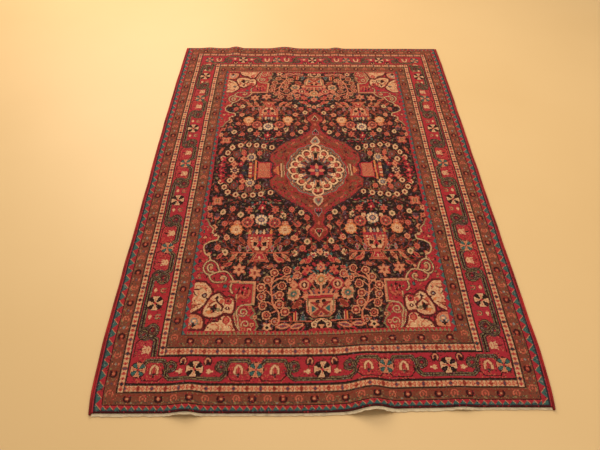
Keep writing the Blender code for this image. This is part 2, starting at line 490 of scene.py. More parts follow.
# %% The near vases' bodies
def vase_body(u, v):
    """Stepped sides, a red rim, four flame-like petals above and a footed stand below."""
    for k, yarn in enumerate((ORANGE, PLUM, CREAM, MIST, CREAM, PLUM, ORANGE)):
        leaf(quarter, yarn, u + 5.0 * (k - 3), v - 19, 11 - 3 * (k % 2), 4.0, math.pi / 2)
    for yarn, less in ((CORAL, 0), (RUST, 1.4), (CRIMSON, 3.4)):
        outline(quarter, yarn, [(u - 17 + less, v - 15), (u + 17 - less, v - 15), (u + 15 - less, v + 6),
                                (u + 9 - less, v + 15 - less), (u - 9 + less, v + 15 - less),
                                (u - 15 + less, v + 6)])
    for side in (-1, 1):
        for k in range(4):
            oval(quarter, CORAL, u + side * 15, v - 9 + 5 * k, 2.6)
            oval(quarter, CREAM, u + side * (12 - 0.9 * k), v - 9 + 5 * k, 1.8)
            block(quarter, SALMON, u + side * 8.6, v - 10 + 3.4 * k, 0.8, 0.8)
        leaf(quarter, SALMON, u + side * 7, v - 6, 9, 4.6, math.pi / 2)
        block(quarter, CRIMSON, u + side * 7, v - 6, 0.9, 2.4)
        line(quarter, SALMON, [(u + side * 2.6, v - 12), (u + side * 2.6, v + 1)], 1.1)
        oval(quarter, SALMON, u + side * 6.6, v + 1.4, 5.4, 5.6)
        outline(quarter, NIGHT, [(u + side * 3, v - 1), (u + side * 9, v - 3), (u + side * 9, v + 4),
                                (u + side * 5, v + 5)])
        oval(quarter, CREAM, u + side * 4, v + 9, 3.4, 2.6)
    block(quarter, CRIMSON, u, v - 14, 17.5, 1.6)
    block(quarter, PLUM, u, v - 7, 1.8, 3.4)
    outline(quarter, CRIMSON, [(u, v - 3), (u + 4, v + 4), (u, v + 12), (u - 4, v + 4)])
    outline(quarter, NIGHT, [(u, v + 3), (u + 2.4, v + 7), (u, v + 11), (u - 2.4, v + 7)])
    block(quarter, CORAL, u, v + 17, 5.0, 2.0)
    for yarn, less in ((CORAL, 0), (RUST, 1.4), (SALMON, 3.0), (CRIMSON, 4.4)):
        foot = v + 28 - less * 0.5
        outline(quarter, yarn, [(u - 8 + less, v + 18), (u + 8 - less, v + 18), (u + 12 - less, foot),
                                (u - 12 + less, foot)])
    oval(quarter, CREAM, u, v + 23, 1.2, 2.4)
    block(quarter, CORAL, u, v + 28.5, 13, 1.2)


vase_body(VASE_U, VASE_V)
for side in (-1, 1):
    line(quarter, CORAL, [(VASE_U + side * 7, VASE_V + 16), (VASE_U + side * 40, VASE_V + 15)], 1.9)
    for p, turn in ((23, 1.05), (36, 0.80)):
        leaf(quarter, RUST, VASE_U + side * p, VASE_V + 23, 19.6, 7.0, side * turn)
        striped_leaf(VASE_U + side * p, VASE_V + 23, 18, 5.6, side * turn, SALMON, CRIMSON, ORANGE)
    for p in (17, 28):
        leaf(quarter, CORAL, VASE_U + side * p, VASE_V + 8.5, 13, 5.6, math.pi / 2 + side * 0.12)
        striped_leaf(VASE_U + side * p, VASE_V + 8.5, 11, 4.4, math.pi / 2 + side * 0.12, MIST, CRIMSON)
    for yarn, size in ((CORAL, 17), (RUST, 14)):
        leaf(quarter, yarn, VASE_U + side * 25, VASE_V - 4.5, size, size * 0.36, side * -0.95)
print("near vase drawn")

# %% [markdown]
# ## Fans of drops
# Past each vase's flowers small drops stand in an arc over three stars. A drop is one stroke of
# the leaf brush, turned a little further than the one before it.

# %% The fans of drops beyond each vase
def fan(u, v, reach):
    """Small drops in an arc, pale ones and bright ones by turns, over three red stars."""
    for k in range(-5, 6):
        angle = 0.26 * k
        x, y = u + reach * math.sin(angle), v - reach * math.cos(angle)
        yarn = (CRIMSON, MIST, CORAL)[k % 3]
        leaf(quarter, yarn, x, y, 5.6, 2.8, math.pi / 2 - angle + math.pi)
        if k % 3 == 0:
            oval(quarter, TEAL, u + (reach + 5) * math.sin(angle), v - (reach + 5) * math.cos(angle), 1.7)
    for k in (-1, 0, 1):
        yarns = (CORAL, CRIMSON) if k else (CRIMSON, CREAM)
        star(u + k * 19, v - 6 + 4 * abs(k), 6.8, *yarns, 5 + abs(k))


fan(VASE_U, VASE_V - 58, 17)
print("fan drawn")

# %% [markdown]
# ## The vase on the middle line
# The quarter is turned over about u = 0, so only half of this vase is drawn. A shape that crosses
# that line starts one knot before it, so the two halves close without a gap. Where several yarns
# lie one inside the other, a loop draws the same outline again with a little less each time.

# %% The vase in the middle
MIDDLE_V = 234


def middle_vase(v):
    """A broad bowl with a dotted edge, chequered in teal and salmon, under a row of flames."""
    for k, yarn in enumerate((SALMON, NAVY, CORAL, PLUM, SALMON, NAVY, CORAL)):
        leaf(quarter, CORAL, 3.2 * k, v - 20, 13 - k % 2, 4.6, math.pi / 2 + 0.10 * k)
        leaf(quarter, yarn, 3.2 * k, v - 20, 11 - k % 2, 3.0, math.pi / 2 + 0.10 * k)
    for yarn, less in ((CORAL, 0), (OLIVE, 1.4), (RUST, 2.8)):
        outline(quarter, yarn, [(-1, v - 17), (19 - less, v - 17), (18 - less, v + 6),
                                (11 - less, v + 14 - less), (-1, v + 14 - less)])
    for k in range(7):
        block(quarter, CREAM, 18 - 0.06 * k * k, v - 11 + 3 * k, 0.6, 0.6)
    block(quarter, CRIMSON, 9, v - 15, 11, 1.8)
    block(quarter, SALMON, 9, v - 17.4, 11, 0.8)
    for yarn, size in ((CORAL, 5.0), (SALMON, 3.8)):
        flower(quarter, yarn, 20, v - 15.5, size, 5, 0.4)
    block(quarter, SALMON, 6, v - 9.4, 8.6, 1.8)
    oval(quarter, NIGHT, 3.8, v - 8.5, 2.5)
    diamond(quarter, SALMON, 0, v - 3, 3.8, 4.4)
    outline(quarter, SALMON, [(2.5, v + 2), (13.5, v - 7), (13.5, v + 10.5)])
    outline(quarter, TEAL, [(5.5, v + 2), (11.6, v - 3.4), (11.6, v + 7.4)])
    outline(quarter, CREAM, [(13.5, v - 8), (15.2, v - 8), (14.8, v + 6), (13.2, v + 8)])
    for end in (-7, 11):
        line(quarter, CRIMSON, [(0, v + 1), (10, v + end)])
    for yarn, less in ((SALMON, 0), (CRIMSON, 1.6), (PLUM, 3.0)):
        outline(quarter, yarn, [(-1, v + 5 + less), (4.6 - less, v + 10.5), (-1, v + 14 - less)])


def middle_stand(v):
    """A foot of two cream curls round a dark three-petalled flower, on a red mound."""
    for yarn, size in ((SALMON, 12), (RUST, 10.6), (NIGHT, 9.4)):
        oval(quarter, yarn, 0, v + 6, size, size * 0.62)
    curl(quarter, CREAM, 8.4, v + 7, 4.6, -2.4, 1.1, 1.9)
    line(quarter, CREAM, smooth([(0, v - 1), (2.6, v + 1.6), (5.4, v + 3)]), 1.7)
    flower(quarter, SALMON, 0, v + 8.6, 3.4, 3, 0.4)
    for yarn, wide in ((MAROON, 23), (CRIMSON, 21)):
        oval(quarter, yarn, 0, v + 16, wide, 4.8)


middle_vase(MIDDLE_V)
middle_stand(MIDDLE_V + 17)
print("middle vase drawn")

# %% [markdown]
# ## Flowers round the middle vase
# Three large flowers of several rings stand over the vase, with fine coral rays on two of them.
# Leaves in an arc, four-petalled flowers and stems join them. Beside the vase stand a spike and a
# row of stripes, and striped leaves lie at its foot.

# %% Round the middle vase
ARC_V = 192
RAYED = ((0, 195), (35.2, 215))
for u, v, size, yarns in (
        (0, 195, 8.6, (CREAM, ORANGE, OLIVE, CREAM)), (21.7, 202, 9.0, (CRIMSON, SALMON, MAROON, NIGHT)),
        (35.2, 215, 9.0, (CREAM, SALMON, OLIVE, TEAL, CRIMSON))):
    disc_flower(u, v, size, *yarns)
for k in range(10):
    angle = math.pi / 5 * (k + 0.5)
    for u, v in RAYED:
        line(quarter, CORAL, [(u + 5 * math.sin(angle), v + 5.4 * math.cos(angle)),
                              (u + 8 * math.sin(angle), v + 8.4 * math.cos(angle))], 0.8)
diamond(quarter, CREAM, 21.7, 202, 2.0, 4.4)
for k in range(4):
    angle = 0.42 * k
    for reach, yarn, length, width in ((13, TEAL, 10, 2.6), (22, MAROON, 9, 5.6), (22, CRIMSON, 7.6, 4.2)):
        leaf(quarter, yarn, reach * math.sin(angle), ARC_V - reach * math.cos(angle), length, width,
             angle - math.pi / 2)
for u, v, size in ((12.5, 193.5, 4.6), (35, 202, 4.8), (9.5, 189, 3.0)):
    flower(quarter, CORAL, u, v, size + 1.0, 4)
    flower(quarter, SALMON, u, v, size, 4, 0.34)
    block(quarter, CRIMSON, u, v, 0.5, 1.0)
line(quarter, SALMON, [(0, 203), (0, 214)], 2.4)
for points in (((3, 212), (10, 203), (12, 199)), ((35, 224), (33, 229), (24, 232))):
    stem(points, CORAL)
for yarn, size in ((CORAL, 18), (RUST, 15)):
    leaf(quarter, yarn, 29.5, 229.5, size, size * 0.42, 0.75)
for yarn, less in ((MIST, 0), (NAVY, 1.2), (TEAL, 2.4)):
    outline(quarter, yarn, [(18 + less, 252), (22.5, 239 + less * 1.6), (27 - less, 252)])
for k, yarn in enumerate((CREAM, CRIMSON, ORANGE, NIGHT, CRIMSON, SALMON)):
    line(quarter, yarn, [(30 + 1.8 * k, 252), (30 + 1.8 * k, 239 + 2.5 * abs(k - 1))], 1.7)
line(quarter, CORAL, [(12, 252.5), (64, 251.5)])
for u, turn in ((30, 0.25), (47, 0.12)):
    leaf(quarter, CORAL, u, 258.5, 20, 8.0, turn)
    striped_leaf(u, 258.5, 18, 6.4, turn, SALMON, PLUM, CRIMSON)
star(18, 180, 7.2, CORAL, CRIMSON)
for yarn, size in ((CORAL, 6.8), (SALMON, 5.4), (CRIMSON, 3.0), (MIST, 1.2)):
    flower(quarter, yarn, 0, 176, size, 6)
for yarn, size in ((CORAL, 6.8), (CREAM, 5.4)):
    flower(quarter, yarn, 66.5, 260, size, 5, 0.45)
oval(quarter, NIGHT, 66.5, 260.5, 2.0)
print("flowers over the middle vase drawn")

# %% [markdown]
# ## Flowering trees
# Beside the middle vase a coral stem forks again and again, and its branches end in round flowers.
# A branch is a smooth curve through a few places, drawn twice, the second time thinner and paler.
# The flowers come last and cover the ends.

# %% The two flowering trees beside it
TREE = (((52, 252), (53, 240), (59, 232), (62.5, 220), (64.5, 207), (63.5, 197), (60.5, 187)),
        ((53, 241), (46, 239)), ((55, 238), (62, 241), (67, 244)), ((60, 230), (56, 229)),
        ((60, 231), (68, 226), (73, 231)), ((63, 218), (58, 214), (54, 216)),
        ((63, 218), (71, 210), (76, 217)), ((64, 208), (57, 201), (51, 203)),
        ((64, 206), (70, 199), (77, 205)), ((64, 200), (56, 193), (41, 194)),
        ((63, 196), (67, 189), (69, 194)), ((60, 196), (49, 190), (33, 188)),
        ((52, 192), (46, 186), (44, 181)))
RINGS = ((69.3, 194.5), (60.8, 183.8), (44.4, 180), (30.5, 187.5), (77.6, 205.5), (50.6, 203),
         (76.3, 218.8), (53.3, 216.5), (73.6, 231), (52.3, 229.5), (44.8, 239.5), (67.8, 244.3),
         (57.2, 252.5), (40.4, 194))
for k, branch in enumerate(TREE):
    line(quarter, CORAL, smooth(branch), 1.7 if k else 2.4)
    line(quarter, SALMON, smooth(branch), 0.8 if k else 1.3)
for points in (((66, 180), (76, 192), (83, 206)), ((70, 236), (80, 240), (78, 250)),
               ((46, 248), (42, 244), (36, 244)),
               ((45, 210), (42, 222), (44, 232))):
    stem(points, BARK)
for k, (u, v) in enumerate(RINGS):
    ring_flower(u, v, 5.2 if k in (12, 13) else 6.2, (MIST, CREAM, NIGHT)[k % 3])
print(len(RINGS), "tree flowers")

# %% [markdown]
# ## Between the vases
# A wider fan of drops, loose flowers, two salmon stars, leafy stems and striped leaves fill what
# the vases and trees leave free.

# %% The fan and flowers between the vases, near the middle line
for k in range(4):
    angle = 0.42 + 0.36 * k
    u, v = 34 * math.sin(angle), ARC_V - 34 * math.cos(angle)
    leaf(quarter, SALMON, u, v, 9, 5.4, math.pi / 2 - angle + math.pi)
    leaf(quarter, (CRIMSON, CORAL)[k % 2], u, v, 7.4, 3.8, math.pi / 2 - angle + math.pi)
    oval(quarter, TEAL, u + 4.5 * math.sin(angle), v - 4.5 * math.cos(angle), 1.9, 2.2)
for u, v, size, yarn in ((0, 152, 5.2, SALMON), (8.5, 145, 4.2, CORAL), (9, 157, 4.4, CREAM)):
    flower(quarter, yarn, u, v, size, 5, 0.32)
    oval(quarter, CRIMSON, u, v, 1.5)
for u, v in ((109, 180), (87, 184)):
    star(u, v, 9.4, CORAL, RUST)
    star(u, v, 8.0, SALMON, RUST)
for yarn, length, width in ((CORAL, 22, 6.4), (PLUM, 19, 4.6), (ORANGE, 12, 3.0), (CRIMSON, 5, 1.6)):
    leaf(quarter, yarn, 67, 174, length, width, 0.1)
for points in (((121, 160), (128, 168), (140, 168)), ((98, 174), (92, 168), (80, 170)),
               ((50, 168), (42, 160), (36, 150)),
               ((12, 132), (10, 144), (13, 156), (10, 166)), ((114, 168), (110, 160), (98, 160))):
    stem(points)
for u, v, turn in ((137, 160, 0.9), (124, 172, 0.5), (54, 164, -0.4), (16, 166, 0.8)):
    striped_leaf(u, v, 13, 6, turn, CORAL, CRIMSON)
print("middle line drawn")

# %% [markdown]
# ## The vase beside the medallion
# This one lies on its side with its mouth to the border, and the quarter holds half of it, from
# v = 0 on. Cream buttons stand in an arch over it.

# %% The vase that lies beside the medallion
for path in (((72, 36), (92, 42), (112, 43), (132, 36), (143, 24)), ((106, 26), (106, 44), (100, 46)),
             ((92, 22), (92, 40)), ((116, 22), (118, 42))):
    stem(path)
for u in (86, 98, 111, 124):
    line(quarter, OLIVE, [(u, 48), (u - 2, 36)])
for u, v in ((128, 31), (80, 29), (105, 38)):
    disc_flower(u, v, 6.8, BARK, PLUM, MIST, PLUM)
for points in (((60, 66), (78, 58), (98, 60), (116, 58), (134, 60)), ((156, 8), (160, 22), (157, 36)),
               ((50, 72), (56, 82), (50, 92)), ((30, 86), (36, 96), (30, 106)),
               ((18, 104), (26, 114), (22, 124))):
    stem(points, BARK)
for u, v in ((149.7, 23.8), (143, 34.7), (136.5, 45), (124, 50), (111, 51), (98, 49.5), (86, 47.4),
             (72.5, 44.5), (136, 21)):
    button(u, v, CREAM, RUST, NIGHT)
for u, v, yarns in ((116.7, 35, BRIGHT), (92, 33, BRIGHT), (129, 31, (RUST, PLUM, MIST)),
                    (79, 29, (MAROON, PLUM, MIST)), (105, 38, (RUST, PLUM, CORAL))):
    button(u, v, *yarns)


def side_vase(u):
    """A chequered jar whose mouth faces the border, with a red lip and flames."""
    outline(quarter, CRIMSON, [(u + 11, -1), (u + 11, 15.5), (u - 6, 16), (u - 12, 12), (u - 12, -1)])
    block(quarter, CORAL, u + 0.6, 0, 9, 13)
    for k in range(-4, 5):
        for j in range(7):
            block(quarter, OLIVE if (k + j) % 3 == 0 else SALMON, u + 0.6 + k * 2, 2 * j, 0.6, 0.6)
    block(quarter, ORANGE, u + 14.5, 0, 1.3, 19)
    block(quarter, CRIMSON, u + 18, 0, 1.3, 12)
    for k in range(3):
        block(quarter, (ORANGE, CREAM, ORANGE)[k], u + 22.5, 5.8 * k, 2.4, 1.9)
        block(quarter, CRIMSON, u + 22.5, 5.8 * k + 2.8, 2.4, 0.8)
    oval(quarter, NAVY, u + 32, 6, 4.5)
    leaf(quarter, MIST, u + 22, 19, 8, 3.6, 0.4)


side_vase(82.5)
rosette(104.4, 25.5, 7.8, CREAM, BARK, MIST, 10)
disc_flower(104.4, 25.5, 4.4, PLUM, MIST, PLUM)
rosette(129.5, 0, 7.4, CREAM, MAROON, PLUM)
disc_flower(129.5, 0, 4.0, MAROON, PLUM, MAROON)
for u, v in ((116, 22.5), (130.6, 12.5)):
    flower(quarter, CORAL, u, v, 6.0, 4, 0.35)
    flower(quarter, SALMON, u, v, 4.4, 4, 0.35)
    oval(quarter, CRIMSON, u, v, 1.6)
flower(quarter, CRIMSON, 119.5, 12.5, 4.8, 5, 0.4)
oval(quarter, CREAM, 119.5, 12.5, 1.2)
for v in (0, 11, 22):
    flower(quarter, CRIMSON, 150.5 - 0.1 * v, v, 5.6, 5, 0.45, turn=math.pi / 2)
    oval(quarter, SALMON, 150.5, v, 1.5)
striped_leaf(154, 40, 15, 5.5, -1.0, RUST, CORAL)
for yarn, size in ((RUST, 10.5), (CORAL, 9.0), (SALMON, 6.0), (BARK, 3.8), (ORANGE, 2.0)):
    flower(quarter, yarn, 150, 62, size, 4, 0.40, turn=math.pi / 4)
stem(((140, 66), (128, 62), (120, 66)), BARK)
stem(((160, 70), (162, 84), (154, 96), (158, 108)), CORAL, 1.8)
for u, v, yarn in ((158, 90, CORAL), (160, 76, SALMON), (152, 78, RUST), (147, 90, PLUM)):
    flower(quarter, yarn, u, v, 4.4, 5)
    oval(quarter, MAROON, u, v, 1.4)
print("side vase drawn")

# %% [markdown]
# ## The medallion
# A lobed lozenge of rust-coloured madder, with scrolls in crimson, carries an oval of sixteen cream
# arches round coral flowers. Its middle is a dark star with an eight-petalled flower. Hearts hang
# from both its points.

# %% The lozenge
LOZENGE = ((0, 100), (7, 96), (11, 84), (24, 73), (36, 65), (52, 55), (64, 42), (73, 32), (75, 20),
           (68, 12), (70, 0))


def grown(reach):
    """The lozenge's corners, moved out from the middle."""
    return [(u + reach * u / math.hypot(u, v or 1), v + reach * v / math.hypot(u, v or 1))
            for u, v in LOZENGE]


outline(quarter, NAVY, [(0, 0)] + grown(2.6))
outline(quarter, MAROON, [(0, 0)] + grown(1.4))
outline(quarter, RUST, [(0, 0)] + list(LOZENGE))
for k in range(9):
    u, v = LOZENGE[k + 1]
    leaf(quarter, EARTH, u * 0.84, v * 0.84, 17, 6.5, 2.2 + 0.1 * k)
line(quarter, EARTH, grown(-4.4), 2.2)
line(quarter, CRIMSON, grown(-3.0), 1.6)
for u, v, radius, start, turns in (
        (46, 46, 9, 0.4, 0.9), (30, 60, 8, 2.4, -0.9), (60, 30, 8, 3.4, 0.8), (16, 76, 6, 0.3, 0.8),
        (38, 58, 5, 0.9, 0.7), (55, 44, 5, 2.9, -0.7), (8, 82, 4, 1.0, -0.8), (68, 24, 5, 0.2, 0.8)):
    curl(quarter, CRIMSON, u, v, radius, start, turns, 1.5)
for u, v, yarn in ((52, 36, MAROON), (38, 54, CORAL), (23, 68, CRIMSON), (60, 18, EARTH), (47, 55, EARTH),
                   (66, 34, MAROON), (12, 70, CORAL), (30, 66, EARTH), (62, 8, CRIMSON)):
    leaf(quarter, yarn, u, v, 11, 3.4, -0.8)
    oval(quarter, BARK, u + 3, v - 1, 1.1)
outline(quarter, ORANGE, [(61, -1), (69, -1), (61, 9)])
outline(quarter, CORAL, [(63, -1), (67, -1), (63, 5)])
block(quarter, CREAM, 56.8, 0, 0.9, 12)
block(quarter, OLIVE, 54.0, 0, 0.9, 13)
block(quarter, CREAM, 51.6, 0, 0.4, 9)

fill_in(RUST, (EARTH, MAROON, CRIMSON, MAROON, RUST, EARTH), (0, 0), (76, 100), 4.4)

# %% [markdown]
# ## The oval
# The oval's lobed edge is a radius that swells with the sine of the angle. It is drawn six times,
# each time smaller and in another yarn. The arches inside it are rings with a gap towards the
# middle, and coral flowers stand in them.

# %% The oval
OVAL_WIDE = 42.0
OVAL_TALL = 44.5
LOBES = 8
LOBE_DEPTH = 0.05


def scalloped(yarn, grow):
    """A quarter of an oval whose edge swells into lobes."""
    points = [(0, 0)]
    for k in range(91):
        angle = math.pi / 2 * k / 90
        swell_out = 1 + LOBE_DEPTH * abs(math.sin(LOBES * angle))
        points.append(((OVAL_WIDE + grow) * math.sin(angle) * swell_out,
                       (OVAL_TALL + grow) * math.cos(angle) * swell_out))
    outline(quarter, yarn, points)


for yarn, grow in ((CRIMSON, 7.6), (EARTH, 5.8), (MIST, 4.6), (BARK, 3.6), (CORAL, 2.2), (BARK, 1.2)):
    scalloped(yarn, grow)
ARCHES = ((0, 42.5, 9.0), (14.5, 32.5, 7.4), (25.5, 22.5, 7.2), (34, 11.5, 6.8), (38, 0, 7.0))
for k in range(15):
    angle = math.pi / 30 * (k + 0.5)
    leaf(quarter, (PLUM, SALMON, MIST, MAROON, RUST)[k % 5], 25 * math.sin(angle), 27 * math.cos(angle),
         15, 3.8, math.pi / 2 - angle)
for u, v, radius in ARCHES:
    inwards = math.atan2(-v, -u)
    oval(quarter, MAROON, u, v, radius + 0.8)
    hook(quarter, CREAM, u, v, radius - 0.8, radius - 0.8, inwards, 2.8)
    hook(quarter, IVORY, u, v, radius - 0.4, radius - 0.4, inwards, 1.4)
    oval(quarter, RUST, u * 0.96, v * 0.96, radius * 0.62)
    oval(quarter, OLIVE, u * 0.84, v * 0.84, radius * 0.4)
    for shift in (-4, 4) if u == 0 else (0,):
        flower(quarter, CORAL, u * 0.96 + shift, v * 0.96, 3.9, 4, 0.34, turn=math.pi / 4)
        oval(quarter, CRIMSON, u * 0.96 + shift, v * 0.96, 1.4)
diamond(quarter, CREAM, 0, 41, 1.6, 3.0)
fill_in(BARK, (OLIVE, PLUM, MIST, RUST, CREAM), (0, 0), (44, 50), 4.5, 5)
for u, v in ((26.5, 9.5), (9, 27)):
    flower(quarter, IVORY, u, v, 4.0, 5)
    oval(quarter, CORAL, u, v, 1.2)
print(len(ARCHES), "arches in a quarter of the oval")

# %% [markdown]
# ## The star in the middle
# A dark star with long arms reaches from the middle towards the arches. On it lies a flower of
# eight petals, crimson and salmon by turns. The quarter holds three of them, two on its edges.

# %% The star
outline(quarter, NIGHT, [(-1, 35), (1.8, 35), (3.0, 29), (2.0, 22), (4.5, 15), (-1, 15)])
outline(quarter, NIGHT, [(24, -1), (19, 2), (13, 5), (13, -1)])
diamond(quarter, CORAL, 0, 22.5, 1.4, 2.4)
diamond(quarter, NIGHT, 28, 0, 2.8, 5.2)
leaf(quarter, MAROON, 21, 0, 8.0, 4.4, 0.0)
diamond(quarter, CORAL, 21, 0, 2.2, 0.9)
spikes = []
for k in range(5):
    angle, reach = math.pi / 8 * k, 20.5 if k % 2 else 14.5
    spikes.append((reach * math.sin(angle), 0.92 * reach * math.cos(angle)))
outline(quarter, NIGHT, [(-1, -1), (-1, spikes[0][1])] + spikes + [(spikes[-1][0], -1)])
for k in (1, 0, 2):
    angle = math.pi / 4 * k
    for yarn, length, width in ((CRIMSON, 13.6, 7.6), (CRIMSON if k % 2 else SALMON, 12.4, 5.6)):
        leaf(quarter, yarn, 7.6 * math.sin(angle), 7.0 * math.cos(angle), length, width,
             math.pi / 2 - angle)
oval(quarter, PLUM, 0, 0, 3.6, 3.8)
oval(quarter, MIST, 0, 0, 1.6, 2.2)
print("star drawn")

# %% [markdown]
# ## The pendants
# A palmette and a dark heart stand between the oval and the lozenge's point. Past the point hangs
# a waisted pendant with a second heart in it.

# %% The pendants
PENDANT_EDGE = ((8, 88), (9, 95), (6, 102), (8, 108), (14, 114), (13.5, 122), (7, 129), (0, 136))


def heart(v, size, rim, inside):
    for yarn, grow in ((rim, 1.6), (inside, 0.0)):
        reach = size + grow
        oval(quarter, yarn, size * 0.44, v - size * 0.25, reach * 0.56, reach * 0.72)
        tip = v + reach * 1.6
        outline(quarter, yarn, [(-1, v - size * 0.5), (reach * 0.9, v), (0, tip)])


outline(quarter, MAROON, [(0, 86)] + [(u + 2.2, v) for u, v in PENDANT_EDGE])
outline(quarter, RUST, [(0, 86)] + list(PENDANT_EDGE))
line(quarter, CRIMSON, [(u - 1.8, v) for u, v in PENDANT_EDGE], 1.5)
for yarn, size in ((CREAM, 1.0), (MIST, 0.74), (OLIVE, 0.5), (PLUM, 0.36)):
    outline(quarter, yarn, [(-1, 61 - 8 * size), (5.5 * size, 61 - 8 * size), (8.4 * size, 61 - 3 * size),
                            (6.6 * size, 61 + 4 * size), (0, 61 + 12 * size)])
oval(quarter, CORAL, 0, 60, 1.4, 2.4)
heart(81, 6.0, CRIMSON, MIST)
heart(81.5, 5.0, MIST, NIGHT)
oval(quarter, CRIMSON, 2.0, 79, 1.6, 3.0)
oval(quarter, CORAL, 0, 103, 2.0, 3.0)
curl(quarter, CORAL, 9.6, 116, 3.6, 2.6, 0.9, 1.4)
heart(118, 4.6, CREAM, NIGHT)
oval(quarter, CRIMSON, 1.5, 117, 1.4, 2.2)
print("pendants drawn")

# %% [markdown]
# ## The corners
# Each corner of the field is closed off in crimson, behind a pale line that winds up into two
# scrolls. Beside them a salmon line runs round a square. Three cream panels and a salmon one fill
# the angle, each with a thick maroon edge and small flowers inside.

# %% The corner's ground
CORNER_EDGE = ((168, 96), (160, 98), (156, 108), (150, 114), (151, 121), (141, 127), (142, 133),
               (152, 136), (159, 141), (160, 149), (157, 156), (151, 160), (148, 165), (139, 169),
               (131, 178), (131, 181), (120, 184), (115, 191), (114, 197), (86, 198), (86, 229),
               (92, 231), (86, 236), (83, 242), (88, 247), (82, 252), (79, 259), (83, 266),
               (83, 270), (168, 270))
TO_THE_SCROLLS, BELOW_THE_SQUARE = CORNER_EDGE[:12], CORNER_EDGE[20:28]
SCROLLS = (
    ((151, 158), (149, 166), (153, 169), (156, 175), (156, 181), (152, 187), (146, 189)),
    ((148, 166), (142, 169), (138, 174), (134, 183)),
    ((142, 184), (148, 184), (151, 178), (149, 173), (145, 174), (146, 179)),
    ((114, 214), (117, 212), (118, 205), (116, 198), (117, 193), (121, 187), (126, 183), (134, 183),
     (142, 186), (147, 190), (144, 196), (139, 199), (132, 199), (126, 197), (125, 192), (130, 190),
     (132, 193)),
)


def pale_line(points, width=2.6):
    """Olive with a cream thread down its middle."""
    line(quarter, OLIVE, points, width)
    line(quarter, CREAM, points, width * 0.4)


def corner():
    """Crimson with a maroon rim, closed off by its pale line, the scrolls and the square's line."""
    rim = [(u - 2.2, v - 2.2) for u, v in CORNER_EDGE[:-2]] + list(CORNER_EDGE[-2:])
    outline(quarter, MAROON, rim)
    outline(quarter, CRIMSON, CORNER_EDGE)
    line(quarter, OLIVE, TO_THE_SCROLLS, 2.4)
    line(quarter, CREAM, TO_THE_SCROLLS[2:], 1.2)
    for yarn, width in ((MAROON, 4.0), (OLIVE, 2.6), (CREAM, 1.2)):
        for path in SCROLLS:
            line(quarter, yarn, smooth(path), width)
    for u, v in ((131, 177), (152, 156), (130, 193), (146, 178)):
        flower(quarter, SALMON, u, v, 2.8, 5, 0.4)
    line(quarter, SALMON, [(118, 198), (86, 198), (86, 229)], 3.0)
    line(quarter, OLIVE, [(118, 199.6), (88, 199.6), (88, 229)], 1.0)
    line(quarter, OLIVE, BELOW_THE_SQUARE, 2.0)
    for u, v, yarn in ((125, 205, TEAL), (161, 190, CORAL), (163, 168, NAVY), (163, 180, CORAL),
                       (164, 120, TEAL), (160, 129, SALMON), (146, 125, CREAM), (164, 152, CORAL)):
        flower(quarter, MAROON, u, v, 3.4, 5)
        flower(quarter, yarn, u, v, 2.4, 5)


def corner_square():
    """The square beside the panels: dark flames over a coral hook, and a scroll below."""
    for u, v in ((106, 208), (100, 205), (94, 208), (101, 213)):
        diamond(quarter, NIGHT, u, v, 1.6, 3.6)
        block(quarter, SALMON, u - 2, v + 3, 0.6, 1.6)
    for yarn, width in ((RUST, 4.6), (CORAL, 2.6)):
        line(quarter, yarn, smooth([(107, 221), (103, 217), (98, 220), (93, 216), (92, 210)]), width)
    pale_line(smooth([(86, 229), (94, 230), (102, 232), (106, 240), (104, 249), (103, 256), (101, 264)]))
    pale_line(((108, 216), (109, 230), (109, 244), (106, 258), (100, 265)), 2.0)
    for u, v, radius, turns in ((98, 240, 6.0, 1.3), (94, 256, 5.4, -1.1)):
        curl(quarter, OLIVE, u, v, radius, 0.6, turns, 2.0)
        curl(quarter, CREAM, u, v, radius, 0.6, turns, 0.9)
    for u, v, yarn in ((86, 257, SALMON), (83, 247, SALMON), (96, 263, CORAL), (89, 264, CREAM),
                       (90, 234, CORAL)):
        flower(quarter, yarn, u, v, 3.0, 5)
        oval(quarter, RUST, u, v, 1.0)


corner()
corner_square()
fill_in(CRIMSON, (MAROON, CORAL, RUST, OLIVE, MAROON), (80, 96), (168, 268), 6.5, 5)
print("corner ground drawn")

# %% [markdown]
# ## The corner's panels
# A panel is a closed smooth curve. A thick maroon line goes down first, the pale ground covers its
# inner half, and a fine rust line runs on the edge. The stems, leaves and flowers inside follow
# as single strokes, and tiny leaves fill what is still bare.

# %% The corner's panels
PANELS = (
    (CREAM, ((168, 200), (155, 199), (149, 202), (142, 210), (141, 218), (146, 228), (152, 235),
             (158, 239), (168, 241))),
    (CREAM, ((139, 219), (132, 215), (126, 219), (122, 222), (113, 221), (110, 230), (111, 239), (114, 243),
             (122, 242), (128, 246), (135, 248), (146, 246), (148, 239), (144, 228))),
    (CREAM, ((143, 270), (142, 262), (137, 255), (128, 254), (124, 247), (116, 246), (111, 252),
             (109, 260), (106, 270))),
    (SALMON, ((168, 245), (158, 244), (150, 247), (146, 255), (147, 262), (157, 264), (168, 262))),
)


def eye(u, v, wide, tall, rim, heart):
    """A flower seen face on: a dark rim round a bright heart."""
    oval(quarter, rim, u, v, wide, tall)
    oval(quarter, heart, u, v, wide - 1.6, tall - 1.6)


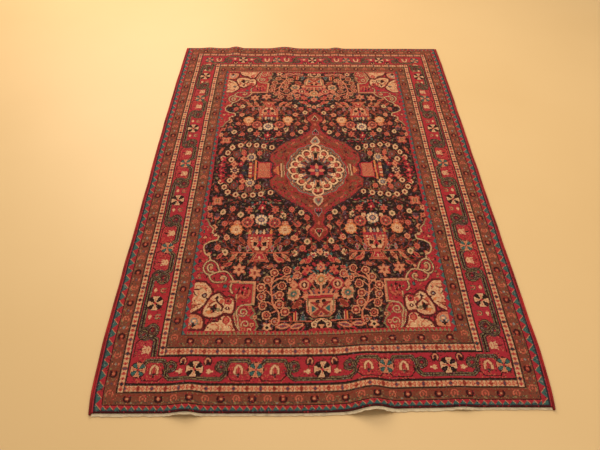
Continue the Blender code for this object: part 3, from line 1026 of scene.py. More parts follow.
for ground, corners in PANELS:
    rim = smooth(corners + corners[:1], 4)
    line(quarter, MAROON, rim, 5.6)
    outline(quarter, ground, rim)
    line(quarter, RUST, rim, 0.9)
for path, yarn, width in (
        (((166, 205), (160, 210), (156, 217), (161, 226), (155, 234)), SALMON, 2.4),
        (((163, 204), (154, 205), (148, 212)), CORAL, 1.6),
        (((143, 236), (139, 229), (133, 226), (128, 230), (124, 236)), RUST, 1.6),
        (((134, 222), (130, 228), (124, 233), (125, 239)), MAROON, 2.0),
        (((129, 220), (122, 224), (122, 231)), RUST, 1.4),
        (((151, 203), (157, 209), (164, 210), (160, 218)), MAROON, 1.4),
        (((164, 238), (158, 232), (152, 230)), RUST, 1.6),
        (((141, 244), (134, 241), (127, 242)), SALMON, 1.8),
        (((136, 258), (130, 257), (126, 262), (130, 266), (134, 264)), CORAL, 1.7),
        (((116, 258), (112, 259), (110, 264), (113, 268)), CORAL, 1.7),
        (((122, 260), (121, 268)), SALMON, 2.2)):
    line(quarter, yarn, smooth(path), width)
leaf(quarter, SALMON, 154, 206, 9, 4.6, 0.5)
leaf(quarter, CORAL, 163, 219, 6, 3.4, 1.2)
leaf(quarter, ORANGE, 150, 226, 6, 3.0, -0.8)
eye(149, 218, 3.4, 3.2, MAROON, MIST)
eye(161, 233, 3.0, 2.8, RUST, CORAL)
flower(quarter, RUST, 135, 236, 6.4, 4, 0.5, 0.4)
flower(quarter, NIGHT, 135, 236, 4.6, 4, 0.5)
leaf(quarter, NIGHT, 132, 221, 5, 3.6, 1.4)
for u, v, yarn in ((141, 241, ORANGE), (129, 238, OLIVE), (140, 226, CORAL), (126, 226, CORAL),
                   (118, 236, MAROON)):
    oval(quarter, yarn, u, v, 3.0, 2.4)
eye(118, 226, 4.6, 4.6, CRIMSON, CORAL)
eye(118, 226, 2.0, 2.0, MAROON, MAROON)
eye(118, 252, 4.6, 5.0, CRIMSON, CORAL)
block(quarter, IVORY, 118, 236, 0.4, 1.0)
curl(quarter, MIST, 157, 253, 6.0, 0.4, 1.2, 1.9)
line(quarter, CORAL, smooth([(166, 248), (158, 246), (150, 250), (149, 258)]), 1.4)
flower(quarter, CORAL, 160, 261, 2.4, 4)
flower(quarter, NIGHT, 157, 258.5, 3.6, 4, 0.45)
for ground in (CREAM, SALMON):
    fill_in(ground, (SALMON, OLIVE, CORAL, IVORY, SALMON, MAROON, SALMON), (104, 196), (168, 268), 4.4, 4.6)
print(len(PANELS), "panels in the corner")

# %% [markdown]
# ## The borders
# Fifteen bands run round the field, counting the narrow lines. A band is drawn once as a straight
# strip, with s along it and t in from its outer edge, and laid along a side. At the corners the
# strips simply meet, as they do where a weaver works without a cartoon. The long sides run through,
# but for the main border, whose ends run through.

# %% Bands
Band = namedtuple("Band", "name side near far")
BANDS = (
    Band("edge", 2, 1, 2), Band("dark line", 2, 1, 1), Band("zigzag", 7, 5, 4),
    Band("fine line", 1, 1, 1), Band("small flowers", 13, 12, 12), Band("fine line", 1, 1, 1),
    Band("beads", 8, 8, 7), Band("fine line", 1, 2, 1), Band("rosettes", 30, 30, 27),
    Band("fine line", 1, 2, 1), Band("beads", 8, 9, 7), Band("fine line", 1, 1, 1),
    Band("small flowers", 14, 14, 13), Band("inner line", 1, 1, 1), Band("inner zigzag", 6, 5, 4),
)


def flower_on(sheet, yarn, s, t, wide, tall, count, notch, turn=0.0):
    flower(sheet, yarn, s, t, wide, count, notch, turn, tall / wide)


def zigzag(length, width, pitch, outer=TEAL, inner=CRIMSON, between=SALMON, share=1.0):
    """Two rows of triangles that fit into each other, with a broken pale line between."""
    t, s = np.mgrid[0:width, 0:length]
    rise = abs(2 * ((s / pitch) % 1) - 1) * (width - 0.4) * share
    strip = np.where(t + 0.5 < rise, outer, inner).astype(np.uint8)
    strip[(abs(t + 0.5 - rise) < 0.30 * (1 + width / pitch)) & ((s / pitch) % 1 < 0.5)] = between
    return strip


def beads(length, width, pitch, heart, lozenges):
    """A pale band with dark lozenges, and two coral diamonds between each and the next."""
    strip = np.full((width, length), CREAM, np.uint8)
    count = round(length / pitch)
    pitch = length / count
    middle = (width - 1) / 2
    for k in range(-1, count):
        s = (k + 0.5) * pitch
        for at in (s + pitch / 3, s + pitch * 2 / 3):
            diamond(strip, CORAL, at, middle, 2.6, width / 2 - 0.8)
            block(strip, heart, at, middle, 0.9, 0.9)
        diamond(strip, CORAL, s, middle, 3.2, width / 2 + 0.4)
        diamond(strip, lozenges[k % 2], s, middle, 2.3, 2.9)
    strip[(0, -1), :] = BARK
    return strip


UP_STRIP, DOWN_STRIP = math.pi / 2, -math.pi / 2


def small_flowers(length, width, pitch, heart, dark_opens, coral_opens):
    """A brown band with dark cup-shaped flowers, coral ones between them, and a leafy ground."""
    strip = np.full((width, length), EARTH, np.uint8)
    count = round(length / pitch)
    pitch = length / count
    middle = (width - 1) / 2
    for k in range(count * 6):
        s, way = (k + 0.5) * pitch / 6, 1 if k % 2 else -1
        yarn = (BARK, RUST, OLIVE, RUST)[k % 4]
        leaf(strip, yarn, s, middle + way * (middle - 1.6), 4.2, 1.9, way * 0.6)
        leaf(strip, (RUST, BARK)[k % 2], s, middle - way * 3.2, 3.6, 1.6, -way * 0.7)
    for k in range(count):
        s = (k + 0.5) * pitch
        if k % 2:
            flower_on(strip, RUST, s, middle, 5.2, 4.8, 6, 0.1)
            hook(strip, MAROON, s, middle, 3.7, 3.3, dark_opens[k // 2 % 2], 2.4)
            hook(strip, NIGHT, s, middle, 3.9, 3.5, dark_opens[k // 2 % 2], 1.0)
            oval(strip, heart, s, middle, 1.5)
        else:
            hook(strip, CORAL, s, middle, 3.6, 3.7, coral_opens[k // 2 % 2], 1.5)
            oval(strip, CORAL, s, middle, 1.1, 1.6)
        if pitch > 20:
            flower_on(strip, MIST if k % 2 else PLUM, s + pitch / 2, middle, 1.8, 1.8, 4, 0.3)
            block(strip, CORAL, s + pitch / 2, middle + 3.6, 1.6, 0.6)
            block(strip, CORAL, s + pitch / 2, middle - 3.6, 1.6, 0.6)
    return strip


print(sum(band.side for band in BANDS), "knots of border at the sides")

# %% [markdown]
# ## The main border
# On crimson, black-and-cream rosettes and teal ones follow each other. A brown vine steps along the
# outer edge under the black ones and along the inner edge over the teal ones, with a scroll where
# it crosses. Cream buds flank the black rosettes, and tulips the teal ones.

# %% The main border's motifs
def border_rosette(strip, s, t, radius, dark, light):
    """A wheel: a pale scalloped disc with four dark petals, a little turned, and a red heart."""
    flower_on(strip, MAROON, s, t, radius + 0.8, radius + 0.7, 8, 0.05)
    flower_on(strip, light, s, t, radius, radius, 8, 0.08, 0.4)
    for k in range(4):
        angle = math.pi / 2 * k + 0.70
        along, aside = math.cos(angle), math.sin(angle)
        for yarn, grow in ((NIGHT, 0.06), (dark, 0.0)):
            shape = [(0.14 - grow, 0), (0.55, 0.18 + grow), (0.88, 0.28 + grow), (0.96 + grow, 0),
                     (0.88, -0.28 - grow), (0.55, -0.18 - grow)]
            outline(strip, yarn, [(s + radius * (out * along - wide * aside),
                                   t + radius * (out * aside + wide * along)) for out, wide in shape])
        between = angle + math.pi / 4
        tip = (s + radius * 0.7 * math.cos(between), t + radius * 0.7 * math.sin(between))
        line(strip, CORAL, [(s, t), tip], 0.9)
    diamond(strip, CRIMSON, s, t, 1.6)


def tulip(strip, s, t):
    """A pale arch over a red throat, on a dark stem. It points inwards."""
    arch = smooth([(s - 4.2, t - 4), (s - 3.6, t + 1.5), (s, t + 4.6), (s + 3.6, t + 1.5), (s + 4.2, t - 4)])
    for yarn, width in ((RUST, 4.2), (CREAM, 2.6)):
        line(strip, yarn, arch, width)
    for shift in (-1.7, 1.7):
        line(strip, CORAL, [(s + shift, t - 3), (s + shift, t + 1)], 0.9)
    line(strip, CRIMSON, [(s, t - 4), (s, t + 3)], 1.4)
    line(strip, NIGHT, [(s, t - 4.5), (s, t - 8.5)], 1.6)
    line(strip, BARK, [(s - 2.2, t - 5), (s, t - 7), (s + 2.2, t - 5)], 1.2)


def palm(strip, s, t):
    """A tulip seen from the side, as the long sides have it: a cream hand with its fingers spread."""
    for k, shift in enumerate((-4.4, -1.6, 1.6, 4.4)):
        line(strip, CREAM, [(s + shift * 0.5, t + 2.4), (s + shift, t - 3.6 + 0.3 * k)], 1.7)
    oval(strip, CREAM, s, t + 3.2, 4.6, 2.6)
    oval(strip, CORAL, s, t + 3.4, 1.7, 0.9)
    line(strip, NIGHT, [(s, t - 4.4), (s, t - 8)], 1.4)


def vine(strip, path, heavy):
    """Two thin olive lines on a dark brown one."""
    for yarn, width in ((NIGHT, 5.4), (BARK, 4.4), (OLIVE, 3.2), (NIGHT, 1.3)):
        line(strip, yarn, path, width * heavy)


print("main border's motifs ready")

# %% [markdown]
# ## Setting out the main border
# The strip goes from one rosette to the next. Between a black one and a teal one the vine, its
# scroll and the tulip stand at shares of the gap, so they fit however wide it is. On the long sides
# the scroll is double and the vine heavier, and a palm takes the tulip's place.

# %% The main border's strip
# The rings of a scroll from the outermost in: a yarn, and how far it keeps inside the radius
SCROLL_RINGS = ((NIGHT, -0.9), (OLIVE, 0.0), (NIGHT, 0.9), (BARK, 1.6), (OLIVE, 2.6), (MAROON, 3.4))


def main_strip(length, width, places, is_end):
    """The places are (s, black or teal) pairs, in order along the strip."""
    strip = np.full((width, length), CRIMSON, np.uint8)
    middle = (width - 1) / 2
    outer, inner = 4.2, width - 4.8
    heavy = 1.0 if is_end else 1.3
    warm = scatter.random(strip.shape) < 0.16
    for (s0, dark0), (s1, dark1) in zip(places, places[1:]):
        black, teal = (s0, s1) if dark0 else (s1, s0)
        gap = teal - black
        way = math.copysign(1, gap)

        def at(*shares):
            return [(black + share * gap, t) for share, t in shares]

        low, high = sorted((black + 0.56 * gap, teal))
        beside_teal = slice(max(int(low), 0), int(high))
        strip[:, beside_teal][warm[:, beside_teal]] = CORAL
        line(strip, NIGHT, at((0.57, middle), (0.54, outer + 4), (0.62, outer - 2.4), (0.90, outer - 2.4),
                              (0.96, middle - 6)))
        vine(strip, at((0.0, outer), (0.43, outer), (0.50, outer + 4), (0.51, middle + 3), (0.57, inner),
                       (0.86, inner), (0.90, inner - 4)), heavy)
        turn, bud = black + 0.43 * gap, black + 0.715 * gap
        scrolls = [(turn, middle + 3.5, 6.6 * heavy)]
        if not is_end:
            oval(strip, BARK, turn + way * 4, middle - 3, 9.0, 10.0)
            scrolls.append((turn + way * 5, middle - 6, 5.6))
        for s, t, radius in scrolls:
            for yarn, less in SCROLL_RINGS:
                oval(strip, yarn, s, t, radius - less, (radius - less) * 0.95)
            curl(strip, BARK, s, t, radius * 0.6, 0.0, -way * 1.0, 1.2)
            diamond(strip, CRIMSON, s, t, 1.6)
        if is_end:
            oval(strip, CREAM, black + way * 16.2, middle - 2, 3.0, 2.6)
            leaf(strip, CREAM, black + way * 19.6, middle - 2, 6.0, 2.0, 0.0)
            block(strip, CORAL, black + way * 14.0, middle - 2, 0.6, 1.1)
            for yarn, width_here in ((MAROON, 5.0), (SALMON, 1.5)):
                hook(strip, yarn, black + way * 14.2, middle + 9.4, 2.6, 3.8, DOWN_STRIP, width_here)
            leaf(strip, NIGHT, black + way * 15.2, middle + 6.8, 6.0, 3.4, math.pi / 4)
            tulip(strip, bud, middle)
        else:
            leaf(strip, CREAM, black + way * 18, middle - 3, 9.0, 3.4, 0.0)
            block(strip, CORAL, black + way * 15.5, middle - 3, 0.6, 0.6)
            hook(strip, OLIVE, black + way * 18, middle + 7, 3.0, 3.6, UP_STRIP, 1.6)
            hook(strip, SALMON, black + way * 18, middle + 6, 1.8, 1.8, UP_STRIP, 1.2)
            palm(strip, bud, middle)
    mixed = scatter.random(strip.shape)
    strip[(strip == OLIVE) & (mixed < 0.45)] = BARK
    strip[(strip == BARK) & (mixed > 0.75)] = PLUM
    for s, dark in places:
        border_rosette(strip, s, middle, width * (0.33 if dark else 0.30), NIGHT if dark else TEAL,
                       CREAM if dark else SALMON)
    return strip


print("main border's strip ready")

# %% [markdown]
# ## Laying the bands
# The bands go down from the outside in, and each side keeps its own running depth, because they
# aren't equally wide on all sides. A strip for the far end is turned over, and one for a long side
# is stood on end.

# %% Laying the bands
chart = np.full((ROWS, COLUMNS), CRIMSON, np.uint8)
# Where the rosettes stand, first a teal one and then a black one by turns
NEAR_PLACES = (45, 110, 180.5, 257, 330.5, 403, 467)
FAR_PLACES = (50, 118, 185, 256.5, 325, 391, 462)
SIDE_PLACES = (45, 129, 212.5, 297, 373, 456, 537, 604, 662)


def lay(strip, side, low, high, depth):
    """Puts a strip along one side, from low to high, its outer edge at the depth."""
    width = strip.shape[0]
    part = strip[:, :high - low]
    if side == "near":
        chart[depth:depth + width, low:high] = part
    elif side == "far":
        chart[ROWS - depth - width:ROWS - depth, low:high] = part[::-1]
    elif side == "left":
        chart[low:high, depth:depth + width] = part.T
    else:
        chart[low:high, COLUMNS - depth - width:COLUMNS - depth] = part[::-1].T


def painted(band, side, width, start, length):
    """One side of one band, as a strip."""
    long_side = side in ("left", "right")
    if band.name == "zigzag":
        return zigzag(length, width, 12.4 if long_side else 8.0)
    if band.name == "inner zigzag":
        if long_side:
            return zigzag(length, width, 11.0, TEAL, CRIMSON, PLUM, 0.8)
        return zigzag(length, width, 5.2, OLIVE, CRIMSON, CORAL)
    if band.name == "beads":
        if long_side:
            return beads(length, width, 17.5, CRIMSON, (NAVY, PLUM))
        return beads(length, width, 15.1, SALMON, (PLUM, RUST))
    if band.name == "small flowers":
        if long_side:
            return small_flowers(length, width, 22.0, CORAL, (0, math.pi), (math.pi, 0))
        turned = start > 40
        return small_flowers(length, width, 17.5, SALMON, (DOWN_STRIP if turned else UP_STRIP,) * 2,
                             (UP_STRIP if turned else DOWN_STRIP,) * 2)
    if band.name == "rosettes":
        places = {"near": NEAR_PLACES, "far": FAR_PLACES}.get(side, SIDE_PLACES)
        places = [(s - start, k % 2 == 1) for k, s in enumerate(places)]
        return main_strip(length, width, places, not long_side)
    first = MAROON if side == "near" else CRIMSON
    yarn = {"edge": first, "dark line": NAVY, "inner line": MAROON}.get(band.name, NIGHT)
    return np.full((width, length), yarn, np.uint8)


across, near_depth, far_depth = 0, 0, 0
for band in BANDS:
    for side, width, depth in (("near", band.near, near_depth), ("far", band.far, far_depth)):
        strip = painted(band, side, width, across, COLUMNS - 2 * across)
        lay(strip, side, across, COLUMNS - across, depth)
    low, high = near_depth, ROWS - far_depth
    if band.name == "rosettes":
        low, high = low + band.near, high - band.far
    for side in ("left", "right"):
        lay(painted(band, side, band.side, low, high - low), side, low, high, across)
    across, near_depth, far_depth = across + band.side, near_depth + band.near, far_depth + band.far
FIELD_LEFT, FIELD_RIGHT = across, COLUMNS - across
FIELD_NEAR, FIELD_FAR = near_depth, ROWS - far_depth
print("the field has", FIELD_RIGHT - FIELD_LEFT, "by", FIELD_FAR - FIELD_NEAR, "knots")

# %% [markdown]
# ## Turning the quarter over
# The four quarters are not quite equal on a real rug, because the weaver beats the rows down more
# in some places than in others. Each row and column of the chart looks up its own place in the
# quarter through a short table, so the far half is a little stretched near the medallion and a
# little squeezed at its end.

# %% The field in the chart
MIDDLE_COLUMN = 259
MIDDLE_ROW = 358
rows = np.arange(FIELD_NEAR, FIELD_FAR) - MIDDLE_ROW
columns = np.arange(FIELD_LEFT, FIELD_RIGHT) - MIDDLE_COLUMN
far_reach = FIELD_FAR - MIDDLE_ROW
squeezed = np.interp(rows, (0, 58, 142, 227, far_reach), (0, 50, 138, 232, FIELD_TALL - 2))
look_v = np.where(rows < 0, -rows, squeezed)
left_reach, right_reach = MIDDLE_COLUMN - FIELD_LEFT, FIELD_RIGHT - MIDDLE_COLUMN
look_u = abs(columns) * (FIELD_WIDE - 3) / np.where(columns < 0, left_reach, right_reach)
drift = 0.7 * np.sin(rows / 23.0)[:, None] + 0.5 * np.sin(columns / 31.0 + rows[:, None] / 61.0)
lift = 0.8 * np.sin(columns / 37.0)[None, :] + 0.5 * np.sin(rows[:, None] / 29.0)
find_v = np.clip(np.rint(look_v[:, None] + lift), 0, FIELD_TALL - 1).astype(int)
find_u = np.clip(np.rint(look_u[None, :] + drift * np.sign(columns)), 0, FIELD_WIDE - 1).astype(int)
chart[FIELD_NEAR:FIELD_FAR, FIELD_LEFT:FIELD_RIGHT] = quarter[find_v, find_u]
print("chart filled")

# %% [markdown]
# ## Odd knots
# Dye takes unevenly, and a weaver picks up a strand of a neighbouring ball now and then, so here
# and there a knot, or two side by side, is of a yarn close to the one around it.

# %% Odd knots
NEIGHBOURS = {
    NIGHT: (NAVY, MAROON, PLUM), NAVY: (NIGHT, PLUM, TEAL), TEAL: (NAVY, MIST, NAVY),
    CRIMSON: (RUST, MAROON, RUST), RUST: (CRIMSON, EARTH, CORAL), EARTH: (RUST, BARK, OLIVE),
    CORAL: (SALMON, CRIMSON, RUST), SALMON: (CORAL, CREAM, CORAL), CREAM: (SALMON, IVORY, SALMON),
    IVORY: (CREAM, SALMON, CREAM), OLIVE: (BARK, MIST, EARTH), BARK: (OLIVE, NIGHT, EARTH),
    MAROON: (RUST, NIGHT, CRIMSON), PLUM: (MIST, NAVY, MAROON), MIST: (PLUM, OLIVE, CREAM),
    ORANGE: (CORAL, SALMON, CREAM),
}
ODD_SHARE = 0.09
chance = np.random.default_rng(7)
nearby = np.array([NEIGHBOURS[yarn] for yarn in range(len(YARNS))], np.uint8)
pick = chance.integers(0, 3, chart.shape)
odd = chance.random(chart.shape) < ODD_SHARE
odd[:, 1:] |= odd[:, :-1] & (chance.random(odd[:, 1:].shape) < 0.5)
chart = np.where(odd, nearby[chart, pick], chart)
print(int(odd.sum()), "odd knots")

# %% [markdown]
# ## From chart to cloth
# The mesh carries the chart itself. A face for every knot would be 358,400 faces, too many, so one
# face holds a block of 4 by 4 knots: each block row of four yarn numbers is written as one number
# in base 16, and the four rows fill the four channels of a colour attribute on the face. The
# material takes them apart again. A UV map that runs from 0 to 1 in each block says where inside
# it a point lies. Another counts knots, for the tufts and rows of the wool.

# %% Blocks of knots
BLOCK = 4
BLOCKS_ACROSS, BLOCKS_ALONG = COLUMNS // BLOCK, ROWS // BLOCK


def packed(knots):
    """Four base-16 numbers for each block, one to a row of its knots."""
    blocks = knots.reshape(BLOCKS_ALONG, BLOCK, BLOCKS_ACROSS, BLOCK).transpose(0, 2, 1, 3)
    return (blocks.astype(np.int64) * 16 ** np.arange(BLOCK)).sum(-1).astype(np.float32)


BLOCK_COLOURS = packed(chart)
print(BLOCKS_ACROSS * BLOCKS_ALONG, "blocks")

# %% [markdown]
# ## A closed sheet
# Sheets of cloth are two grids of points, an upper and a lower, joined by a rim. The stations say
# where the grid lines run, as shares of the width and length: one at each block's edge, and a few
# more close to the rim, where the pile is rounded.

# %% Sheets
ROUNDING = (0.0006, 0.0014, 0.0024)


def stations(count, length):
    """Shares from 0 to 1: one at each block's edge, with more just inside both ends."""
    close = [reach / length for reach in ROUNDING]
    marks = [k / count for k in range(count + 1)] + close + [1 - share for share in close]
    return np.array(sorted(marks))


def add_piece(name, points, faces):
    mesh = bpy.data.meshes.new(name)
    mesh.from_pydata(points.reshape(-1, 3).tolist(), [], faces)
    mesh.update()
    piece = bpy.data.objects.new(name, mesh)
    bpy.context.scene.collection.objects.link(piece)
    return piece


def closed_sheet(name, across, along, upper, lower):
    """Faces of the upper grid first, then the lower, then the rim.

    Returns the piece, where each face corner lies on the sheet, and how many faces a side has.
    """
    points = np.concatenate([upper.reshape(-1, 3), lower.reshape(-1, 3)])
    rows, columns = len(along), len(across)
    top = np.arange(rows * columns).reshape(rows, columns)
    quads = np.stack([top[:-1, :-1], top[:-1, 1:], top[1:, 1:], top[1:, :-1]], -1).reshape(-1, 4)
    ring = np.concatenate([top[0, :], top[1:, -1], top[-1, -2::-1], top[-2:0:-1, 0]])
    after = np.roll(ring, -1)
    rim = np.stack([ring + rows * columns, after + rows * columns, after, ring], -1)
    faces = np.concatenate([quads, quads[:, ::-1] + rows * columns, rim])
    piece = add_piece(name, points, faces.tolist())
    place = np.stack(np.meshgrid(across, along), -1).reshape(-1, 2)
    return piece, np.concatenate([place, place])[faces], len(quads)


print("sheet tools ready")

# %% [markdown]
# ## Maps on a sheet
# The pile and the foundation get three maps. Two serve the material: one says where in its block a
# point lies, and one counts the knots. The third lays the sheet out for the picture that an exported
# model carries. There the side that shows takes nearly all the room, and the other a narrow strip.

# %% Maps
def give_map(piece, name, corners):
    layer = piece.data.uv_layers.new(name=name)
    layer.data.foreach_set("uv", corners.astype(np.float32).ravel())


SHOWN_SHARE = 0.94
HIDDEN_SHARE = 0.048
RIM_STRIP = (0.050, 0.058)
UPPER, LOWER = 0, 1


def lay_out(piece, corners, count, shown):
    """The side that shows fills nearly all of the map, and the hidden side and the rim a strip below."""
    flat = corners.copy()
    flat[count:2 * count, :, 0] = 1 - corners[count:2 * count, :, 0]
    for side in (UPPER, LOWER):
        part = corners[side * count:(side + 1) * count, :, 1]
        placed = 1 - SHOWN_SHARE * (1 - part) if side == shown else HIDDEN_SHARE * part
        flat[side * count:(side + 1) * count, :, 1] = placed
    rim = np.arange(len(corners) - 2 * count)
    ends = np.stack([rim, rim + 1], -1) / len(rim)
    low, high = RIM_STRIP
    flat[2 * count:, :, 0] = ends[:, (0, 1, 1, 0)]
    flat[2 * count:, :, 1] = np.array([low, low, high, high])
    give_map(piece, "OFBake", flat)


def carry_chart(piece, corners):
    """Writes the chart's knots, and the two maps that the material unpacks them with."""
    shares = corners * (BLOCKS_ACROSS, BLOCKS_ALONG)
    block = np.floor(shares.mean(1)).astype(int)
    block = np.clip(block, 0, (BLOCKS_ACROSS - 1, BLOCKS_ALONG - 1))
    give_map(piece, "Cell", np.clip(shares - block[:, None, :], 0, 1))
    give_map(piece, "Knots", corners * (COLUMNS, ROWS))
    layer = piece.data.attributes.new("Yarns", "FLOAT_COLOR", "FACE")
    layer.data.foreach_set("color", BLOCK_COLOURS[block[:, 1], block[:, 0]].ravel())


print("map tools ready")

# %% [markdown]
# ## The pile
# Wool stands 6.5 mm high over the foundation. Its surface is not quite level, because rows of knots
# are clipped by hand and years of feet have pressed some places more than others, so a little
# unevenness goes into the mesh itself. At the rim the tufts lean out and the edge is round.

# %% The pile's sheet
EDGE_RADIUS = 0.0024
UNEVEN = 0.00045


def unevenness(x, y):
    """Slow waves across and along that never repeat together, between -1 and 1."""
    waves = np.sin(31 * x + 5 * y) + np.sin(17 * y - 9 * x + 1.3) + np.sin(53 * x + 41 * y + 0.7)
    return waves / 3


RUG_WIDE = float(sheet_x(np.array(1.0), np.array(0.0)) - sheet_x(np.array(0.0), np.array(0.0)))
centre = np.array(0.5)
RUG_LONG = float(curve_through(ENDS, "far", centre) - curve_through(ENDS, "near", centre))
across, along = stations(BLOCKS_ACROSS, RUG_WIDE), stations(BLOCKS_ALONG, RUG_LONG)
share, length = np.meshgrid(across, along)
sheet_ys = sheet_y(share, length)
sheet_xs = sheet_x(share, sheet_ys)
sheet_zs = ripple_height(share, sheet_ys)


def sheet_at(height):
    """The points of the sheet, so high above its underside."""
    return np.stack([sheet_xs, sheet_ys, sheet_zs + height], -1)


inside = np.minimum(np.minimum(share, 1 - share) * RUG_WIDE, np.minimum(length, 1 - length) * RUG_LONG)
short = np.clip(EDGE_RADIUS - inside, 0, EDGE_RADIUS)
drop = EDGE_RADIUS - np.sqrt(EDGE_RADIUS ** 2 - short ** 2)
pile_top = FOUNDATION + PILE - UNEVEN + UNEVEN * unevenness(sheet_xs, sheet_ys) - drop
pile, corners, side_faces = closed_sheet("rug_pile", across, along, sheet_at(pile_top), sheet_at(FOUNDATION))
lay_out(pile, corners, side_faces, UPPER)
carry_chart(pile, corners)
print("pile:", len(pile.data.polygons), "faces,", round(RUG_WIDE, 3), "by", round(RUG_LONG, 3), "m")

# %% [markdown]
# ## The foundation
# Turned over, a knotted rug shows its pattern again in small hard loops, the backs of the knots,
# in rows between the wefts. That side is its own sheet, as thin as it really is.

# %% The foundation's sheet
SKIN = 0.0001  # left free under the pile
foundation, corners, side_faces = closed_sheet(
    "rug_foundation", across, along, sheet_at(FOUNDATION - SKIN), sheet_at(0))
lay_out(foundation, corners, side_faces, LOWER)
carry_chart(foundation, corners)
print("foundation:", len(foundation.data.polygons), "faces")

# %% [markdown]
# ## The bare woven end
# Past the last row of knots the warps run on for about a centimetre, woven flat with cotton weft.
# Each warp shows as a rib, 2.65 mm from the next. Its outer edge is worn and a little ragged.

# %% The woven end's sheet
RIB_POINTS = 4
RIB_HEIGHT = 0.0009
WEB_ROWS = 9
WEFTS = 6
WEFT_HEIGHT = 0.00036
FRAY = 0.28  # how much of its length the most worn place has lost
UNDER_PILE = 0.0012  # how far the web runs on below the pile
WORN_SHARE, WORN_THIN = 0.18, 0.35  # the thin outer part, and the square of its thickness there


def ragged(share):
    """How far short of the full length the web ends, as a share of it."""
    turn = share * RUG_WIDE
    waves = np.sin(95 * turn) * np.sin(41 * turn + 1) + 0.6 * np.sin(290 * turn + 2 * np.sin(57 * turn))
    return FRAY * np.clip(0.5 + 0.4 * waves, 0, 1)


def web_points(across, along, sign):
    share, length = np.meshgrid(across, along)
    length = length * (1 - ragged(share))
    y = sheet_y(share, np.minimum(length, 0.0)) + UNDER_PILE * np.maximum(length, 0.0)
    x = sheet_x(share, y)
    rib = abs(np.sin(np.pi * COLUMNS * share))
    weft = np.sin(np.pi * (COLUMNS * share + WEFTS * length))
    thin = np.clip((1 + length) / WORN_SHARE, WORN_THIN, 1) ** 0.5
    middle = FOUNDATION / 2
    half = (middle - RIB_HEIGHT * (1 - rib) - WEFT_HEIGHT / 2 * (1 + weft)) * thin
    return np.stack([x, y, ripple_height(share, y) + middle + sign * half], -1)


web_across = np.linspace(0, 1, COLUMNS * RIB_POINTS + 1)
web_along = np.append(np.linspace(-1, 0, WEB_ROWS), 1.0)
web, web_corners, _ = closed_sheet(
    "woven_end", web_across, web_along,
    web_points(web_across, web_along, 1), web_points(web_across, web_along, -1))
give_map(web, "Knots", web_corners * (COLUMNS, 4.0))
print("woven end:", len(web.data.polygons), "faces")

# %% [markdown]
# ## The overcast edges
# Along both sides the last warps are bundled into a cord and overcast with wool, turn beside turn,
# so the edge wears slowly. The turns are in the mesh: the cord's radius swells and shrinks as it
# goes, a little later all the way round, so that they slant as real ones do.

# %% Selvedges
TURN_PITCH = 0.0042
TURN_DEPTH = 0.10
RINGS_PER_TURN = 4
CORD_SIDES = 12
CORD_END = 0.003  # the length over which an end is rounded off
END_SHRINK = 0.28
CLEAR_OF_FLOOR = 0.995  # keeps the cord's underside just off the floor


def selvedge(name, side, start):
    """A cord along one long edge, from its start beside the woven end to the far end."""
    across = np.array(0.0 if side < 0 else 1.0)
    first, last = float(sheet_y(across, np.array(start))), float(sheet_y(across, np.array(1.0)))
    count = int((last - first) / TURN_PITCH * RINGS_PER_TURN)
    around_cord = 2 * np.pi * (np.arange(CORD_SIDES) + 0.5) / CORD_SIDES - np.pi / 2
    y, angle = np.meshgrid(np.linspace(first, last, count + 1), around_cord, indexing="ij")
    uneven = 1 + 0.25 * np.sin(y * 37 + side) * np.sin(y * 11)
    turn = abs(np.sin(np.pi * (y / TURN_PITCH + side * angle / (2 * np.pi))))
    shrink = 1 - TURN_DEPTH * uneven * (1 - turn)
    close = np.minimum(np.minimum(y - first, last - y) / CORD_END, 1.0)
    shrink = shrink * (1 - END_SHRINK + END_SHRINK * np.sqrt(close * (2 - close)))
    middle = long_edge(side, y) - side * SELVEDGE_WIDTH / 2
    x = middle + shrink * SELVEDGE_WIDTH / 2 * np.cos(angle)
    z = SELVEDGE_HEIGHT / 2 * (1 + shrink * np.sin(angle) * CLEAR_OF_FLOOR)
    k, n = np.meshgrid(np.arange(count), np.arange(CORD_SIDES), indexing="ij")
    a = (k * CORD_SIDES + n).ravel()
    b = (k * CORD_SIDES + (n + 1) % CORD_SIDES).ravel()
    quads = np.stack([a, a + CORD_SIDES, b + CORD_SIDES, b], -1)
    caps = [list(range(CORD_SIDES)), list(range(x.size - CORD_SIDES, x.size))[::-1]]
    return add_piece(name, np.stack([x, y, z], -1), quads.tolist() + caps)


left_wrap = selvedge("left_selvedge_wrap", -1, LEFT_SELVEDGE_START)
right_wrap = selvedge("right_selvedge_wrap", 1, RIGHT_SELVEDGE_START)
print("selvedges:", len(left_wrap.data.polygons), "faces each")

# %% [markdown]
# ## Materials from nodes
# One function turns a hex colour into the linear values that Blender renders with, and one adds a
# node with its settings and links. Sums of several nodes are loops over it.

# %% Node tools
def linear(hex_colour):
    """sRGB hex to linear RGBA."""
    parts = [int(hex_colour[k:k + 2], 16) / 255 for k in (1, 3, 5)]
    return (*[c / 12.92 if c <= 0.04045 else ((c + 0.055) / 1.055) ** 2.4 for c in parts], 1.0)


def add_node(tree, kind, settings=None, **links):
    """Adds a node, its kind without Blender's ShaderNode in front.

    Each input is named, or numbered as in i0, and takes a value, a socket or a node.
    """
    node = tree.nodes.new("ShaderNode" + kind)
    for name, value in (settings or {}).items():
        setattr(node, name, value)
    for name, value in links.items():
        socket = node.inputs[int(name[1:]) if name[1:].isdigit() else name.replace("_", " ")]
        if isinstance(value, bpy.types.Node):
            value = value.outputs[0]
        if isinstance(value, bpy.types.NodeSocket):
            tree.links.new(value, socket)
        else:
            socket.default_value = value
    return node


